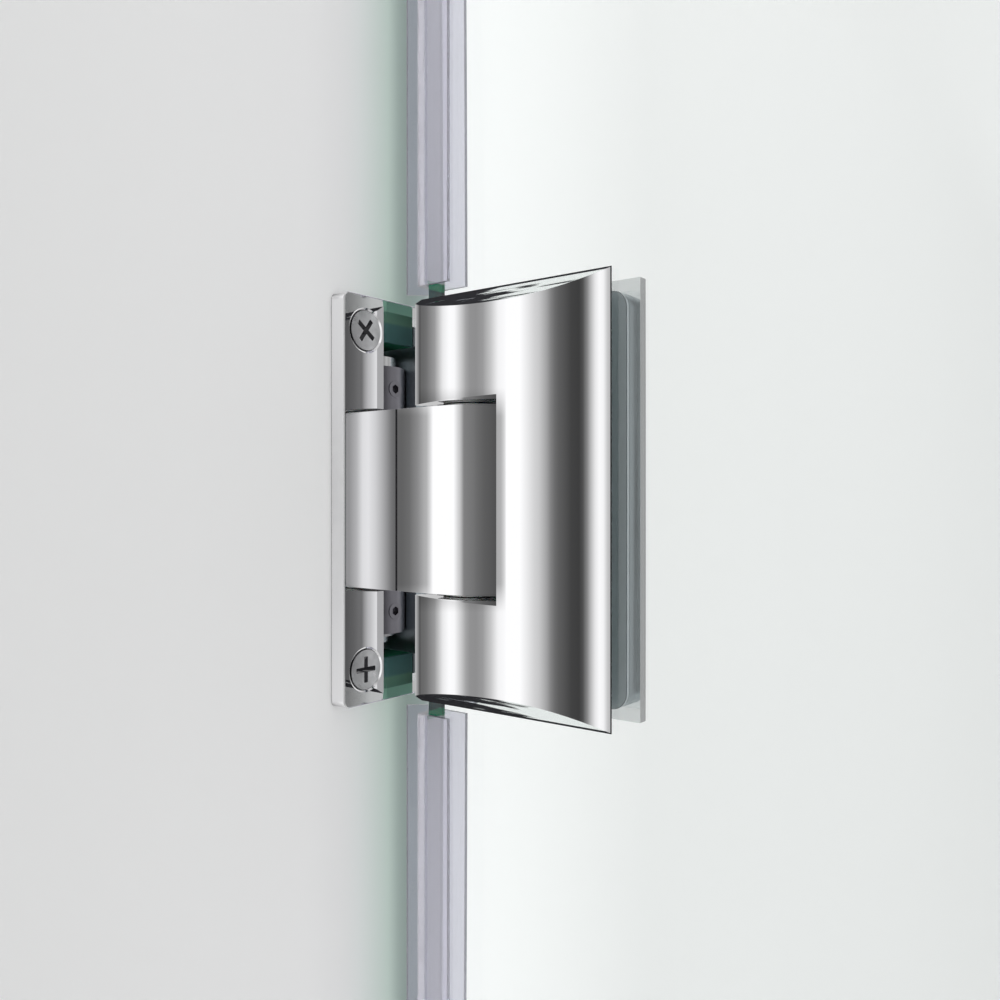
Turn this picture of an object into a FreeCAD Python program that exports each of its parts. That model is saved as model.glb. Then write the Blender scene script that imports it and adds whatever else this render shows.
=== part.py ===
# A frameless hinged shower door: one clear glass panel on two wall hinges.
# The frame: X = 0 is the wall face, and +X runs from the wall along the closed door.
# Y = 0 is the middle of the glass, -Y is the dry side that faces the room, +Z is up.
# Z = 0 is the middle of the upper hinge. All lengths are in millimetres.
import FreeCAD, Part
import math
import os
import Sketcher

DOC = FreeCAD.newDocument("HingedShowerDoor")

# The driving sizes: a name, a length in millimetres and what it is
SIZE_TABLE = [
    ("hinge_height", 90.0, "height of the wall plate and of both covers"),
    ("plate_thickness", 4.0, "wall plate"),
    ("plate_width", 48.0, "wall plate, across the door's plane"),
    ("plate_corner_radius", 3.5, "wall plate, seen from the front"),
    ("plate_edge_break", 0.3, "bevel round the wall plate's polished face"),
    ("wall_screw_half_width", 17.4, "wall screws, sideways from the middle"),
    ("wall_screw_half_height", 37.1, "wall screws, up and down from the middle"),
    ("wall_screw_radius", 2.4, "shank of a wall screw"),
    ("wall_screw_head_radius", 4.65, "countersunk head of a wall screw"),
    ("wall_screw_reach", 46.0, "shank that stands out behind the plate"),
    ("wall_screw_neck_radius", 2.1, "neck of a wall screw, inside the plate"),
    ("screw_hole_clearance", 0.15, "round the shank and the head of a wall screw"),
    ("cross_recess_arm", 2.8, "half the length of the cross in a wall screw"),
    ("cross_recess_half_slot", 0.5, "half the width of the cross's slots"),
    ("cross_recess_depth", 1.5, "cross in a wall screw"),
    ("pivot_from_wall", 20.0, "pivot axis, out from the wall face"),
    ("knuckle_half_height", 20.6, "knuckle, up and down from the middle"),
    ("knuckle_reach", 27.5, "knuckle, out from the wall plate"),
    ("knuckle_shoulder_reach", 11.0, "widest line of the knuckle, out from the wall plate"),
    ("knuckle_cheek_reach", 18.0, "line where its sides have turned in, out from the wall plate"),
    ("knuckle_root_half_width", 7.8, "knuckle at the wall plate"),
    ("knuckle_shoulder_half_width", 8.2, "knuckle at its widest line"),
    ("knuckle_cheek_half_width", 7.05, "knuckle where its sides have turned in"),
    ("knuckle_nose_half_width", 3.3, "knuckle at its nose"),
    ("knuckle_root_radius", 185.0, "gentle swell of the sides up to the widest line"),
    ("knuckle_shoulder_radius", 21.5, "bend of the sides past the widest line"),
    ("knuckle_cheek_radius", 98.0, "sides from the bend to the nose"),
    ("knuckle_nose_radius", 1.6, "rounded corners of the nose"),
    ("pin_radius", 4.0, "pivot pin"),
    ("pin_flat_depth", 0.8, "each of the four flats that the plungers meet"),
    ("pin_flat_half_height", 5.2, "flats, up and down from the middle"),
    ("pin_head_radius", 5.8, "head on top of the pin"),
    ("pin_head_thickness", 2.6, "head on top of the pin"),
    ("pin_tail", 2.6, "pin below the lower boss"),
    ("pin_clip_radius", 5.6, "retaining clip under the lower boss"),
    ("pin_clip_thickness", 0.9, "retaining clip under the lower boss"),
    ("pin_clip_mouth", 5.4, "open side of the clip"),
    ("pin_groove_depth", 0.7, "groove that the clip snaps into"),
    ("running_clearance", 0.05, "round a piece that turns or slides"),
    ("seat_clearance", 0.03, "round a piece that is pushed into its seat"),
    ("bushing_wall", 1.45, "nylon bushing round the pin"),
    ("bushing_depth", 9.0, "nylon bushing inside the knuckle"),
    ("bushing_flange_thickness", 0.35, "flange between the knuckle and the cover"),
    ("bushing_flange_radius", 6.6, "flange between the knuckle and the cover"),
    ("plunger_radius", 3.95, "detent plunger"),
    ("plunger_length", 5.0, "detent plunger"),
    ("plunger_stub_radius", 2.2, "stub that centres the spring"),
    ("plunger_stub_length", 2.0, "stub that centres the spring"),
    ("spring_wire_radius", 0.5, "detent spring"),
    ("spring_coil_radius", 3.1, "detent spring, to the middle of the wire"),
    ("block_screw_half_spacing", 14.0, "screws that hold the knuckle, up and down"),
    ("block_screw_radius", 2.5, "shank of a knuckle screw"),
    ("block_screw_head_radius", 4.8, "head of a knuckle screw"),
    ("block_screw_length", 13.5, "knuckle screw from the wall face"),
    ("socket_radius", 1.5, "hexagonal drive sockets, across the corners"),
    ("socket_depth", 1.4, "hexagonal drive sockets"),
    ("glass_thickness", 10.0, "toughened glass"),
    ("glass_width", 610.0, "glass panel"),
    ("glass_height", 1829.0, "glass panel"),
    ("glass_gap", 10.6, "wall face to the glass's edge"),
    ("glass_arris", 0.6, "ground bevel on the glass's outer edges"),
    ("hinge_inset", 229.0, "middle of a hinge from the glass's top or bottom"),
    ("cutout_half_height", 37.0, "cut-out in the glass behind a hinge"),
    ("cutout_margin", 1.0, "cut-out behind the cover's notch"),
    ("ear_radius", 8.0, "round ears at the cut-out's inner corners"),
    ("ear_inset", 2.5, "middle of an ear past the cut-out's edge"),
    ("gasket_thickness", 1.0, "clear gasket on each face of the glass"),
    ("gasket_inset", 0.8, "gasket and clamp plate inside the cover's outline"),
    ("gasket_half_height", 42.0, "gasket and clamp plate"),
    ("gasket_corner_radius", 3.5, "gasket and clamp plate"),
    ("cover_wall_gap", 10.1, "wall face to the cover's near edge"),
    ("cover_width", 49.3, "outer cover along the door"),
    ("cover_edge_thickness", 2.5, "outer cover at its edge near the wall"),
    ("cover_peak_thickness", 8.4, "outer cover at its thickest line"),
    ("cover_peak_from_edge", 29.9, "thickest line from the edge near the wall"),
    ("cover_tip_thickness", 0.4, "outer cover at its far edge"),
    ("notch_reach", 27.4, "notch round the knuckle, along the door"),
    ("knuckle_gap", 0.5, "between the knuckle and the notch, above and below"),
    ("boss_radius", 8.0, "boss that holds an end of the pin"),
    ("boss_height", 10.7, "boss that holds an end of the pin"),
    ("boss_plate_gap", 0.3, "boss to the clamp plate"),
    ("set_screw_radius", 2.0, "set screw that locks the pin"),
    ("set_screw_from_notch", 5.4, "set screw above the notch"),
    ("clamp_screw_radius", 3.0, "shank of a clamp screw"),
    ("clamp_screw_head_radius", 6.0, "countersunk head of a clamp screw"),
    ("clamp_thread_depth", 5.6, "threaded hole in the outer cover"),
    ("thread_end_room", 0.4, "room past the end of a screw in its hole"),
    ("sleeve_wall", 4.2, "nylon sleeve round a clamp screw"),
    ("clamp_plate_thickness", 3.0, "steel plate inside the shower"),
    ("inner_cover_thickness", 2.7, "flat cover inside the shower"),
    ("inner_cover_edge_break", 0.4, "bevel round the flat cover"),
    ("peg_radius", 1.5, "pegs that hold the flat cover"),
    ("peg_length", 2.4, "pegs that hold the flat cover"),
    ("peg_half_spacing", 12.0, "pegs, up and down from the middle"),
    ("peg_from_tip", 9.4, "pegs from the cover's far edge"),
    ("seal_wall", 1.0, "legs of the clear edge seals"),
    ("seal_spine", 2.0, "spine of the clear edge seals"),
    ("seal_glass_gap", 0.3, "spine to the glass's edge"),
    ("seal_outer_leg", 7.3, "leg on the dry side, past the spine"),
    ("seal_inner_leg", 6.9, "leg on the wet side, past the spine"),
    ("seal_fin_thickness", 1.1, "fin of the edge seals, measured across the glass"),
    ("seal_fin_drop", 6.1, "how far the fin leans back to the dry side"),
    ("seal_fin_wall_gap", 0.3, "fin to the wall face"),
    ("seal_hinge_gap", 3.2, "end of a seal to the hinge"),
    ("strike_fin_reach", 8.0, "fin of the seal on the closing edge"),
    ("sweep_leg", 20.0, "bottom sweep, up the glass"),
    ("sweep_fin", 9.0, "wiping fins under the bottom sweep"),
    ("sweep_fin_lean", 1.2, "how far the wiping fins lean outwards"),
    ("sweep_fin_thickness", 0.9, "wiping fins"),
    ("drip_reach", 7.5, "drip rail on the wet side"),
    ("drip_fall", 4.0, "drip rail, from the glass down to its lip"),
    ("drip_thickness", 1.3, "drip rail"),
    ("seal_end_gap", 0.3, "between the seals where they meet"),
    ("handle_from_edge", 63.5, "handle to the closing edge of the glass"),
    ("handle_below_hinge", 600.0, "middle of the handle below the upper hinge"),
    ("handle_half_centres", 101.5, "handle posts, up and down from its middle"),
    ("handle_half_length", 152.5, "handle bar, up and down from its middle"),
    ("handle_radius", 9.5, "handle bar"),
    ("handle_end_bevel", 1.0, "bevel round the bar's ends"),
    ("handle_post_radius", 8.0, "posts that carry the bar"),
    ("handle_projection", 50.0, "middle of the bar from its washers"),
    ("handle_washer_radius", 9.0, "clear washers under the posts"),
    ("handle_stud_radius", 3.0, "stud through the glass"),
    ("handle_stud_engagement", 12.0, "stud inside each post"),
    ("handle_hole_radius", 6.0, "holes in the glass for the handle"),
    ("handle_sleeve_gap", 0.2, "sleeve to the hole in the glass"),
    ("handle_set_screw_radius", 2.5, "set screws in the inner handle's posts"),
    ("handle_set_screw_from_end", 6.0, "set screws from the post's end"),
    ("overrun", 1.0, "how far a cutting shape passes the face it starts from"),
]

# The slope of the cover's slanted ends: fall of the end face over the cover's thickness
COVER_END_SLOPE_SHARE = 0.63
# The knuckle's bore between its bushings clears the pin by this share of a bushing's wall
PIN_BORE_ROOM_SHARE = 0.25
# A hexagonal socket's size from the radius of its headless screw
SET_SCREW_SOCKET_SHARE = 0.55
# An edge runs along an axis when this share of its direction does
ALONG_SHARE = 0.999
HINGE_NAMES = ("upper", "lower")
SIDES = (1, -1)


class Size:
    """A length together with the formula that gives it from the sheet."""

    def __init__(self, value, formula):
        self.value = value
        self.formula = formula

    def joined(self, sign, other, value):
        """Return the size that another size or a plain share makes with this one."""
        text = other.formula if isinstance(other, Size) else repr(other)
        return Size(value, "(%s %s %s)" % (self.formula, sign, text))

    def __add__(self, other):
        return self.joined("+", other, self.value + other.value)

    def __sub__(self, other):
        return self.joined("-", other, self.value - other.value)

    def __mul__(self, other):
        return self.joined("*", other, self.value * plain(other))

    def __truediv__(self, other):
        return self.joined("/", other, self.value / plain(other))

    def __neg__(self):
        return Size(-self.value, "(0 - %s)" % self.formula)


def plain(number):
    """Return the plain number of a size or of a share."""
    return number.value if isinstance(number, Size) else number


ZERO = Size(0.0, "0")


class SizeSheet:
    """The document's table of sizes, read as sheet.name."""

    def __init__(self, table):
        self.cells = DOC.addObject("Spreadsheet::Sheet", "Sizes")
        for row, (name, length, words) in enumerate(table, start=1):
            self.cells.set("A%d" % row, name)
            self.cells.set("B%d" % row, str(length))
            self.cells.set("C%d" % row, words)
            self.cells.setAlias("B%d" % row, name)
        DOC.recompute()

    def __getattr__(self, name):
        return Size(float(getattr(self.cells, name)), "Sizes.%s" % name)


S = SizeSheet(SIZE_TABLE)

# Places that several pieces share
HALF_GLASS = S.glass_thickness / 2
OUTER_FACE = -(HALF_GLASS + S.gasket_thickness)
INNER_FACE = HALF_GLASS + S.gasket_thickness
HALF_HINGE = S.hinge_height / 2
NOTCH_HALF = S.knuckle_half_height + S.knuckle_gap
NOTCH_EDGE = S.cover_wall_gap + S.notch_reach
COVER_TIP = S.cover_wall_gap + S.cover_width
BOSS_TOP = NOTCH_HALF + S.boss_height
CUTOUT_EDGE = NOTCH_EDGE + S.cutout_margin
EAR_X = CUTOUT_EDGE + S.ear_inset
EAR_Z = S.cutout_half_height - S.ear_radius
PIN_FLAT = S.pin_radius - S.pin_flat_depth
PLUNGER_NOSE = S.pivot_from_wall - S.pin_radius - S.running_clearance
PLUNGER_BACK = PLUNGER_NOSE - S.plunger_length
CLAMP_PLATE_BACK = INNER_FACE + S.clamp_plate_thickness
SLEEVE_BORE = S.clamp_screw_radius + S.screw_hole_clearance
GLASS_TOP = S.hinge_inset
GLASS_BOTTOM = GLASS_TOP - S.glass_height
GLASS_FAR = S.glass_gap + S.glass_width
LOWER_HINGE_Z = GLASS_BOTTOM + S.hinge_inset
SEAL_START = HALF_HINGE + S.seal_hinge_gap
HANDLE_X = GLASS_FAR - S.handle_from_edge
HANDLE_FOOT = HALF_GLASS + S.gasket_thickness

# How a sketch plane's normal runs along the axis that it crosses
PLANES = {"X": ("YZ_Plane", 1), "Y": ("XZ_Plane", -1), "Z": ("XY_Plane", 1)}


# Drawing
def outline(points, bends=None):
    """Describe a closed outline; bends gives a segment's radius and its turn."""
    return ("outline", points, bends or {})


def circle(across, up, radius):
    """Describe a circle."""
    return ("circle", (across, up), radius)


def rectangle(low_across, high_across, low_up, high_up):
    """Describe a rectangle between two pairs of places."""
    corners = [(low_across, low_up), (high_across, low_up)]
    corners += [(high_across, high_up), (low_across, high_up)]
    return outline(corners)


def bind(sketch, constraint, size):
    """Add a sized constraint and tie it to the sheet."""
    index = sketch.addConstraint(constraint)
    sketch.setExpression("Constraints[%d]" % index, size.formula)


def hold_point(sketch, geometry, point, place):
    """Tie a point of the sketch to its place from the origin."""
    for kind, axis, size in (("DistanceX", -2, place[0]), ("DistanceY", -1, place[1])):
        if size.value == 0:
            sketch.addConstraint(Sketcher.Constraint("PointOnObject", geometry, point, axis))
        else:
            bind(sketch, Sketcher.Constraint(kind, geometry, point, size.value), size)


def flat(place):
    """Return a place as a vector in the sketch."""
    return FreeCAD.Vector(place[0].value, place[1].value, 0)


def draw_arc(sketch, start, end, radius, turn):
    """Draw an arc that turns left (1) or right (-1); return it with its two ends."""
    chord = end - start
    middle = start + chord * 0.5
    reach = math.sqrt(radius ** 2 - (chord.Length / 2) ** 2)
    centre = middle + FreeCAD.Vector(-chord.y, chord.x, 0).normalize() * reach * turn
    angles = [math.atan2(p.y - centre.y, p.x - centre.x) for p in (start, end)]
    if turn < 0:
        angles.reverse()
    arc = Part.ArcOfCircle(Part.Circle(centre, FreeCAD.Vector(0, 0, 1), radius), *angles)
    return sketch.addGeometry(arc, False), (1, 2) if turn > 0 else (2, 1)


def draw(sketch, shape):
    """Draw one described shape in the sketch and tie all of it to the sheet."""
    kind, places, extra = shape
    if kind == "circle":
        ring = Part.Circle(flat(places), FreeCAD.Vector(0, 0, 1), extra.value)
        index = sketch.addGeometry(ring, False)
        hold_point(sketch, index, 3, places)
        bind(sketch, Sketcher.Constraint("Radius", index, extra.value), extra)
        return
    pieces = []
    for number, place in enumerate(places):
        start = flat(place)
        end = flat(places[(number + 1) % len(places)])
        if number in extra:
            radius, turn = extra[number]
            index, ends = draw_arc(sketch, start, end, radius.value, turn)
            bind(sketch, Sketcher.Constraint("Radius", index, radius.value), radius)
        else:
            index, ends = sketch.addGeometry(Part.LineSegment(start, end), False), (1, 2)
        pieces.append((index, ends))
        hold_point(sketch, index, ends[0], place)
    for number, (index, ends) in enumerate(pieces):
        after, after_ends = pieces[(number + 1) % len(pieces)]
        link = Sketcher.Constraint("Coincident", index, ends[1], after, after_ends[0])
        sketch.addConstraint(link)


def new_body(label):
    """Start the body of one sub-part."""
    body = DOC.addObject("PartDesign::Body", "Body_" + label)
    body.Label = label
    return body


def sketch_on(body, name, axis, height, shapes):
    """Draw shapes on a plane that crosses the axis at a height."""
    role, sign = PLANES[axis]
    plane = [item for item in body.Origin.OriginFeatures if item.Role == role][0]
    sketch = body.newObject("Sketcher::SketchObject", name + "Sketch")
    sketch.AttachmentSupport = (plane, "")
    sketch.MapMode = "FlatFace"
    along = height if sign > 0 else -height
    sketch.AttachmentOffset = FreeCAD.Placement(
        FreeCAD.Vector(0, 0, along.value), FreeCAD.Rotation()
    )
    if along.value != 0:
        sketch.setExpression("AttachmentOffset.Base.z", along.formula)
    for shape in shapes:
        draw(sketch, shape)
    return sketch


def add_solid(body, name, axis, low, high, *shapes):
    """Pad shapes between two places along an axis."""
    start = low if PLANES[axis][1] > 0 else high
    pad = body.newObject("PartDesign::Pad", name)
    pad.Profile = sketch_on(body, name, axis, start, shapes)
    pad.setExpression("Length", (high - low).formula)
    return pad


def cut_away(body, name, axis, low, high, *shapes):
    """Pocket shapes between two places along an axis."""
    start = high if PLANES[axis][1] > 0 else low
    pocket = body.newObject("PartDesign::Pocket", name)
    pocket.Profile = sketch_on(body, name, axis, start, shapes)
    pocket.setExpression("Length", (high - low).formula)
    DOC.recompute()
    return pocket


def spin(body, name, points):
    """Turn a half outline of radius and height pairs round the body's upright axis."""
    sketch = sketch_on(body, name, "Y", ZERO, [outline(points)])
    turned = body.newObject("PartDesign::Revolution", name)
    turned.Profile = sketch
    turned.ReferenceAxis = (sketch, ["V_Axis"])
    DOC.recompute()
    return turned


def edges_of(feature, wanted):
    """Name the feature's edges that a test picks."""
    DOC.recompute()
    picked = []
    for number, edge in enumerate(feature.Shape.Edges, start=1):
        if wanted(edge):
            picked.append("Edge%d" % number)
    return picked


def soften(body, kind, name, size, wanted):
    """Fillet or chamfer the edges of the body's last feature that a test picks."""
    feature = body.Tip
    picked = edges_of(feature, wanted)
    softened = body.newObject("PartDesign::" + kind, name)
    softened.Base = (feature, picked)
    softened.setExpression("Radius" if kind == "Fillet" else "Size", size.formula)
    DOC.recompute()
    return softened


def near(value, size):
    """Tell whether a coordinate lies at a size's place."""
    return abs(value - plain(size)) < S.seat_clearance.value


def runs_along(edge, axis):
    """Tell whether an edge is a straight line along an axis."""
    if not isinstance(edge.Curve, Part.Line):
        return False
    return abs(getattr(edge.tangentAt(edge.FirstParameter), axis.lower())) > ALONG_SHARE


def is_round(edge, radius):
    """Tell whether an edge is a full circle of a radius."""
    return isinstance(edge.Curve, Part.Circle) and near(edge.Curve.Radius, radius)


def moved(shape, place, turn=None):
    """Return a copy of a shape, turned and then moved."""
    copy = shape.copy()
    rotation = turn or FreeCAD.Rotation()
    vector = FreeCAD.Vector(*[size.value for size in place])
    copy.Placement = FreeCAD.Placement(vector, rotation).multiply(copy.Placement)
    return copy


def group(label, pattern, places, lift=ZERO):
    """Make one node of copies of a pattern piece; places hold a position and a turn."""
    DOC.recompute()
    copies = [moved(pattern.Shape, place, turn) for place, turn in places]
    node = DOC.addObject("Part::Feature", "Group_" + label)
    node.Label = label
    node.Shape = Part.makeCompound(copies)
    node.Placement = FreeCAD.Placement(FreeCAD.Vector(0, 0, lift.value), FreeCAD.Rotation())
    NODES.append(node)


def keep(body, lift=ZERO, place=None, turn=None):
    """List a body as a node and put it in its place."""
    spot = place or (ZERO, ZERO, ZERO)
    height = spot[2] + lift
    vector = FreeCAD.Vector(spot[0].value, spot[1].value, height.value)
    body.Placement = FreeCAD.Placement(vector, turn or FreeCAD.Rotation())
    for axis, size in zip("xyz", (spot[0], spot[1], height)):
        body.setExpression("Placement.Base." + axis, size.formula)
    NODES.append(body)


NODES = []
TO_WALL = FreeCAD.Rotation(FreeCAD.Vector(0, 0, 1), FreeCAD.Vector(-1, 0, 0))
FROM_WALL = FreeCAD.Rotation(FreeCAD.Vector(0, 0, 1), FreeCAD.Vector(1, 0, 0))
TO_DRY_SIDE = FreeCAD.Rotation(FreeCAD.Vector(0, 0, 1), FreeCAD.Vector(0, -1, 0))
UPSIDE_DOWN = FreeCAD.Rotation(FreeCAD.Vector(1, 0, 0), 180)
UPRIGHT = FreeCAD.Rotation()


# Fasteners, each drawn once along its own upright axis with its head at the bottom
def cross_points(arm, half_slot):
    """Return the outline of a cross-shaped recess."""
    quarter = [(arm, -half_slot), (arm, half_slot), (half_slot, half_slot)]
    points = []
    for turn in range(4):
        for across, up in quarter:
            for _ in range(turn):
                across, up = -up, across
            points.append((across, up))
    return points


def hexagon_points(radius):
    """Return the corners of a hexagonal socket."""
    high = radius * math.sin(math.radians(60))
    half = radius / 2
    upper = [(radius, ZERO), (half, high), (-half, high)]
    lower = [(-radius, ZERO), (-half, -high), (half, -high)]
    return upper + lower


def countersunk_screw(name, radius, head_radius, length, neck=None):
    """Build a flat-head screw from its face at height zero; neck holds its radius and its end."""
    body = new_body(name)
    points = [(ZERO, ZERO), (head_radius, ZERO)]
    if neck:
        slim, neck_end = neck
        points += [(slim, head_radius - slim), (slim, neck_end), (radius, neck_end)]
    else:
        points += [(radius, head_radius - radius)]
    points += [(radius, length), (ZERO, length)]
    spin(body, name + "Turned", points)
    return body


def set_screw(name, radius, length):
    """Build a headless screw with a hexagonal socket at height zero."""
    body = new_body(name)
    add_solid(body, name + "Shank", "Z", ZERO, length, circle(ZERO, ZERO, radius))
    socket = outline(hexagon_points(radius * SET_SCREW_SOCKET_SHARE))
    cut_away(body, name + "Socket", "Z", -S.overrun, S.socket_depth, socket)
    return body


wall_screw = countersunk_screw(
    "wall_screw_pattern",
    S.wall_screw_radius,
    S.wall_screw_head_radius,
    S.plate_thickness + S.wall_screw_reach,
    (S.wall_screw_neck_radius, S.plate_thickness),
)
cut_away(
    wall_screw, "CrossRecess", "Z", -S.overrun, S.cross_recess_depth,
    outline(cross_points(S.cross_recess_arm, S.cross_recess_half_slot)),
)
block_screw = countersunk_screw(
    "block_screw_pattern", S.block_screw_radius, S.block_screw_head_radius, S.block_screw_length
)
cut_away(
    block_screw, "BlockScrewSocket", "Z", -S.overrun, S.socket_depth,
    outline(hexagon_points(S.socket_radius)),
)
clamp_screw = countersunk_screw(
    "clamp_screw_pattern",
    S.clamp_screw_radius,
    S.clamp_screw_head_radius,
    CLAMP_PLATE_BACK - OUTER_FACE + S.clamp_thread_depth - S.thread_end_room,
)
cut_away(
    clamp_screw, "ClampScrewSocket", "Z", -S.overrun, S.socket_depth,
    outline(hexagon_points(S.socket_radius)),
)
pin_set_screw = set_screw("pin_set_screw_pattern", S.set_screw_radius, S.boss_radius - S.pin_radius)
handle_set_screw = set_screw(
    "handle_set_screw_pattern",
    S.handle_set_screw_radius,
    S.handle_post_radius - S.handle_stud_radius - S.seat_clearance,
)


def ring(name, bore, radius, length):
    """Build a plain ring from height zero up."""
    body = new_body(name)
    rims = (circle(ZERO, ZERO, radius), circle(ZERO, ZERO, bore))
    add_solid(body, name + "Ring", "Z", ZERO, length, *rims)
    return body


clamp_sleeve = ring(
    "clamp_sleeve_pattern", SLEEVE_BORE, SLEEVE_BORE + S.sleeve_wall, S.glass_thickness
)
handle_washer = ring(
    "handle_washer_pattern",
    S.handle_stud_radius + S.screw_hole_clearance,
    S.handle_washer_radius,
    S.gasket_thickness,
)
handle_sleeve = ring(
    "handle_sleeve_pattern",
    S.handle_stud_radius + S.screw_hole_clearance,
    S.handle_hole_radius - S.handle_sleeve_gap,
    S.glass_thickness,
)


def bushing_pattern():
    """Build a flanged nylon bushing whose flange stands on height zero."""
    body = new_body("bushing_pattern")
    bore = S.pin_radius + S.running_clearance
    wall = bore + S.bushing_wall
    spin(body, "BushingTurned", [
        (bore, -S.bushing_depth),
        (wall, -S.bushing_depth),
        (wall, ZERO),
        (S.bushing_flange_radius, ZERO),
        (S.bushing_flange_radius, S.bushing_flange_thickness),
        (bore, S.bushing_flange_thickness),
    ])
    return body


bushing = bushing_pattern()


# The wall side of a hinge
def wall_plate(prefix, lift):
    """Build the rounded plate with four countersunk holes and two hidden ones."""
    body = new_body(prefix + "_wall_plate")
    half = S.plate_width / 2
    outline_shape = rectangle(-half, half, -HALF_HINGE, HALF_HINGE)
    add_solid(body, "Plate", "X", ZERO, S.plate_thickness, outline_shape)
    soften(body, "Fillet", "PlateCorners", S.plate_corner_radius,
           lambda edge: runs_along(edge, "X"))
    soften(body, "Chamfer", "PlateEdgeBreak", S.plate_edge_break,
           lambda edge: near(edge.BoundBox.XMin, S.plate_thickness))
    hole = S.wall_screw_radius + S.screw_hole_clearance
    rings = []
    for side in SIDES:
        for end in SIDES:
            place = (S.wall_screw_half_width * side, S.wall_screw_half_height * end)
            rings.append(circle(place[0], place[1], hole))
    cut_away(body, "WallScrewHoles", "X", -S.overrun, S.plate_thickness + S.overrun, *rings)
    head_room = S.wall_screw_head_radius + S.screw_hole_clearance - hole
    soften(body, "Chamfer", "Countersinks", head_room,
           lambda edge: is_round(edge, hole) and near(edge.BoundBox.XMin, S.plate_thickness))
    hidden_hole = S.block_screw_radius + S.screw_hole_clearance
    hidden = [circle(ZERO, S.block_screw_half_spacing * end, hidden_hole) for end in SIDES]
    cut_away(body, "KnuckleScrewHoles", "X", -S.overrun, S.plate_thickness + S.overrun, *hidden)
    hidden_room = S.block_screw_head_radius + S.screw_hole_clearance - hidden_hole
    soften(body, "Chamfer", "BackCountersinks", hidden_room,
           lambda edge: is_round(edge, hidden_hole) and near(edge.BoundBox.XMax, ZERO))
    keep(body, lift)


def knuckle_block(prefix, lift):
    """Build the swelling knuckle with its pin bore, bushing seats and plunger bore."""
    body = new_body(prefix + "_knuckle_block")
    root = S.plate_thickness
    shoulder = root + S.knuckle_shoulder_reach
    cheek = root + S.knuckle_cheek_reach
    nose = root + S.knuckle_reach
    root_half = S.knuckle_root_half_width
    shoulder_half = S.knuckle_shoulder_half_width
    cheek_half = S.knuckle_cheek_half_width
    nose_half = S.knuckle_nose_half_width
    swell = (S.knuckle_root_radius, 1)
    bend = (S.knuckle_shoulder_radius, 1)
    side = (S.knuckle_cheek_radius, 1)
    plan = outline(
        [
            (root, -root_half),
            (shoulder, -shoulder_half),
            (cheek, -cheek_half),
            (nose, -nose_half),
            (nose, nose_half),
            (cheek, cheek_half),
            (shoulder, shoulder_half),
            (root, root_half),
        ],
        {0: swell, 1: bend, 2: side, 4: side, 5: bend, 6: swell},
    )
    add_solid(body, "Knuckle", "Z", -S.knuckle_half_height, S.knuckle_half_height, plan)
    soften(body, "Fillet", "NoseCorners", S.knuckle_nose_radius,
           lambda edge: runs_along(edge, "Z") and near(edge.BoundBox.XMin, nose))
    pivot = S.pivot_from_wall
    through = S.knuckle_half_height + S.overrun
    bore = S.pin_radius + S.bushing_wall * PIN_BORE_ROOM_SHARE
    cut_away(body, "PinBore", "Z", -through, through, circle(pivot, ZERO, bore))
    seat = S.pin_radius + S.running_clearance + S.bushing_wall + S.seat_clearance
    seat_floor = S.knuckle_half_height - S.bushing_depth - S.seat_clearance
    cut_away(body, "UpperBushingSeat", "Z", seat_floor, through, circle(pivot, ZERO, seat))
    cut_away(body, "LowerBushingSeat", "Z", -through, -seat_floor, circle(pivot, ZERO, seat))
    plunger_bore = S.plunger_radius + S.running_clearance
    cut_away(body, "PlungerBore", "X", root - S.overrun, pivot, circle(ZERO, ZERO, plunger_bore))
    threads = []
    for end in SIDES:
        threads.append(circle(ZERO, S.block_screw_half_spacing * end,
                              S.block_screw_radius + S.seat_clearance))
    thread_end = S.block_screw_length + S.thread_end_room
    cut_away(body, "ScrewThreads", "X", root - S.overrun, thread_end, *threads)
    keep(body, lift)


def pivot_pin(prefix, lift):
    """Build the headed pin with the four flats that the plunger meets."""
    body = new_body(prefix + "_pivot_pin")
    radius = S.pin_radius
    groove = radius - S.pin_groove_depth
    groove_top = -BOSS_TOP - S.seat_clearance
    groove_bottom = groove_top - S.pin_clip_thickness - S.seat_clearance * 2
    tail = -BOSS_TOP - S.pin_tail
    head = BOSS_TOP + S.pin_head_thickness
    spin(body, "PinTurned", [
        (ZERO, tail),
        (radius, tail),
        (radius, groove_bottom),
        (groove, groove_bottom),
        (groove, groove_top),
        (radius, groove_top),
        (radius, BOSS_TOP),
        (S.pin_head_radius, BOSS_TOP),
        (S.pin_head_radius, head),
        (ZERO, head),
    ])
    outside = radius + S.overrun
    frame = rectangle(-outside, outside, -outside, outside)
    square = rectangle(-PIN_FLAT, PIN_FLAT, -PIN_FLAT, PIN_FLAT)
    flat_half = S.pin_flat_half_height
    cut_away(body, "Flats", "Z", -flat_half, flat_half, frame, square)
    keep(body, lift, (S.pivot_from_wall, ZERO, ZERO))


def pin_clip(prefix, lift):
    """Build the open clip that holds the pin's lower end."""
    body = new_body(prefix + "_pin_clip")
    bore = S.pin_radius - S.pin_groove_depth + S.seat_clearance
    top = -BOSS_TOP - S.seat_clearance * 2
    rims = (circle(ZERO, ZERO, S.pin_clip_radius), circle(ZERO, ZERO, bore))
    add_solid(body, "Clip", "Z", top - S.pin_clip_thickness, top, *rims)
    mouth = S.pin_clip_mouth / 2
    below = top - S.pin_clip_thickness - S.overrun
    reach = S.pin_clip_radius + S.overrun
    cut_away(body, "Mouth", "Z", below, top + S.overrun, rectangle(ZERO, reach, -mouth, mouth))
    keep(body, lift, (S.pivot_from_wall, ZERO, ZERO))


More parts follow.
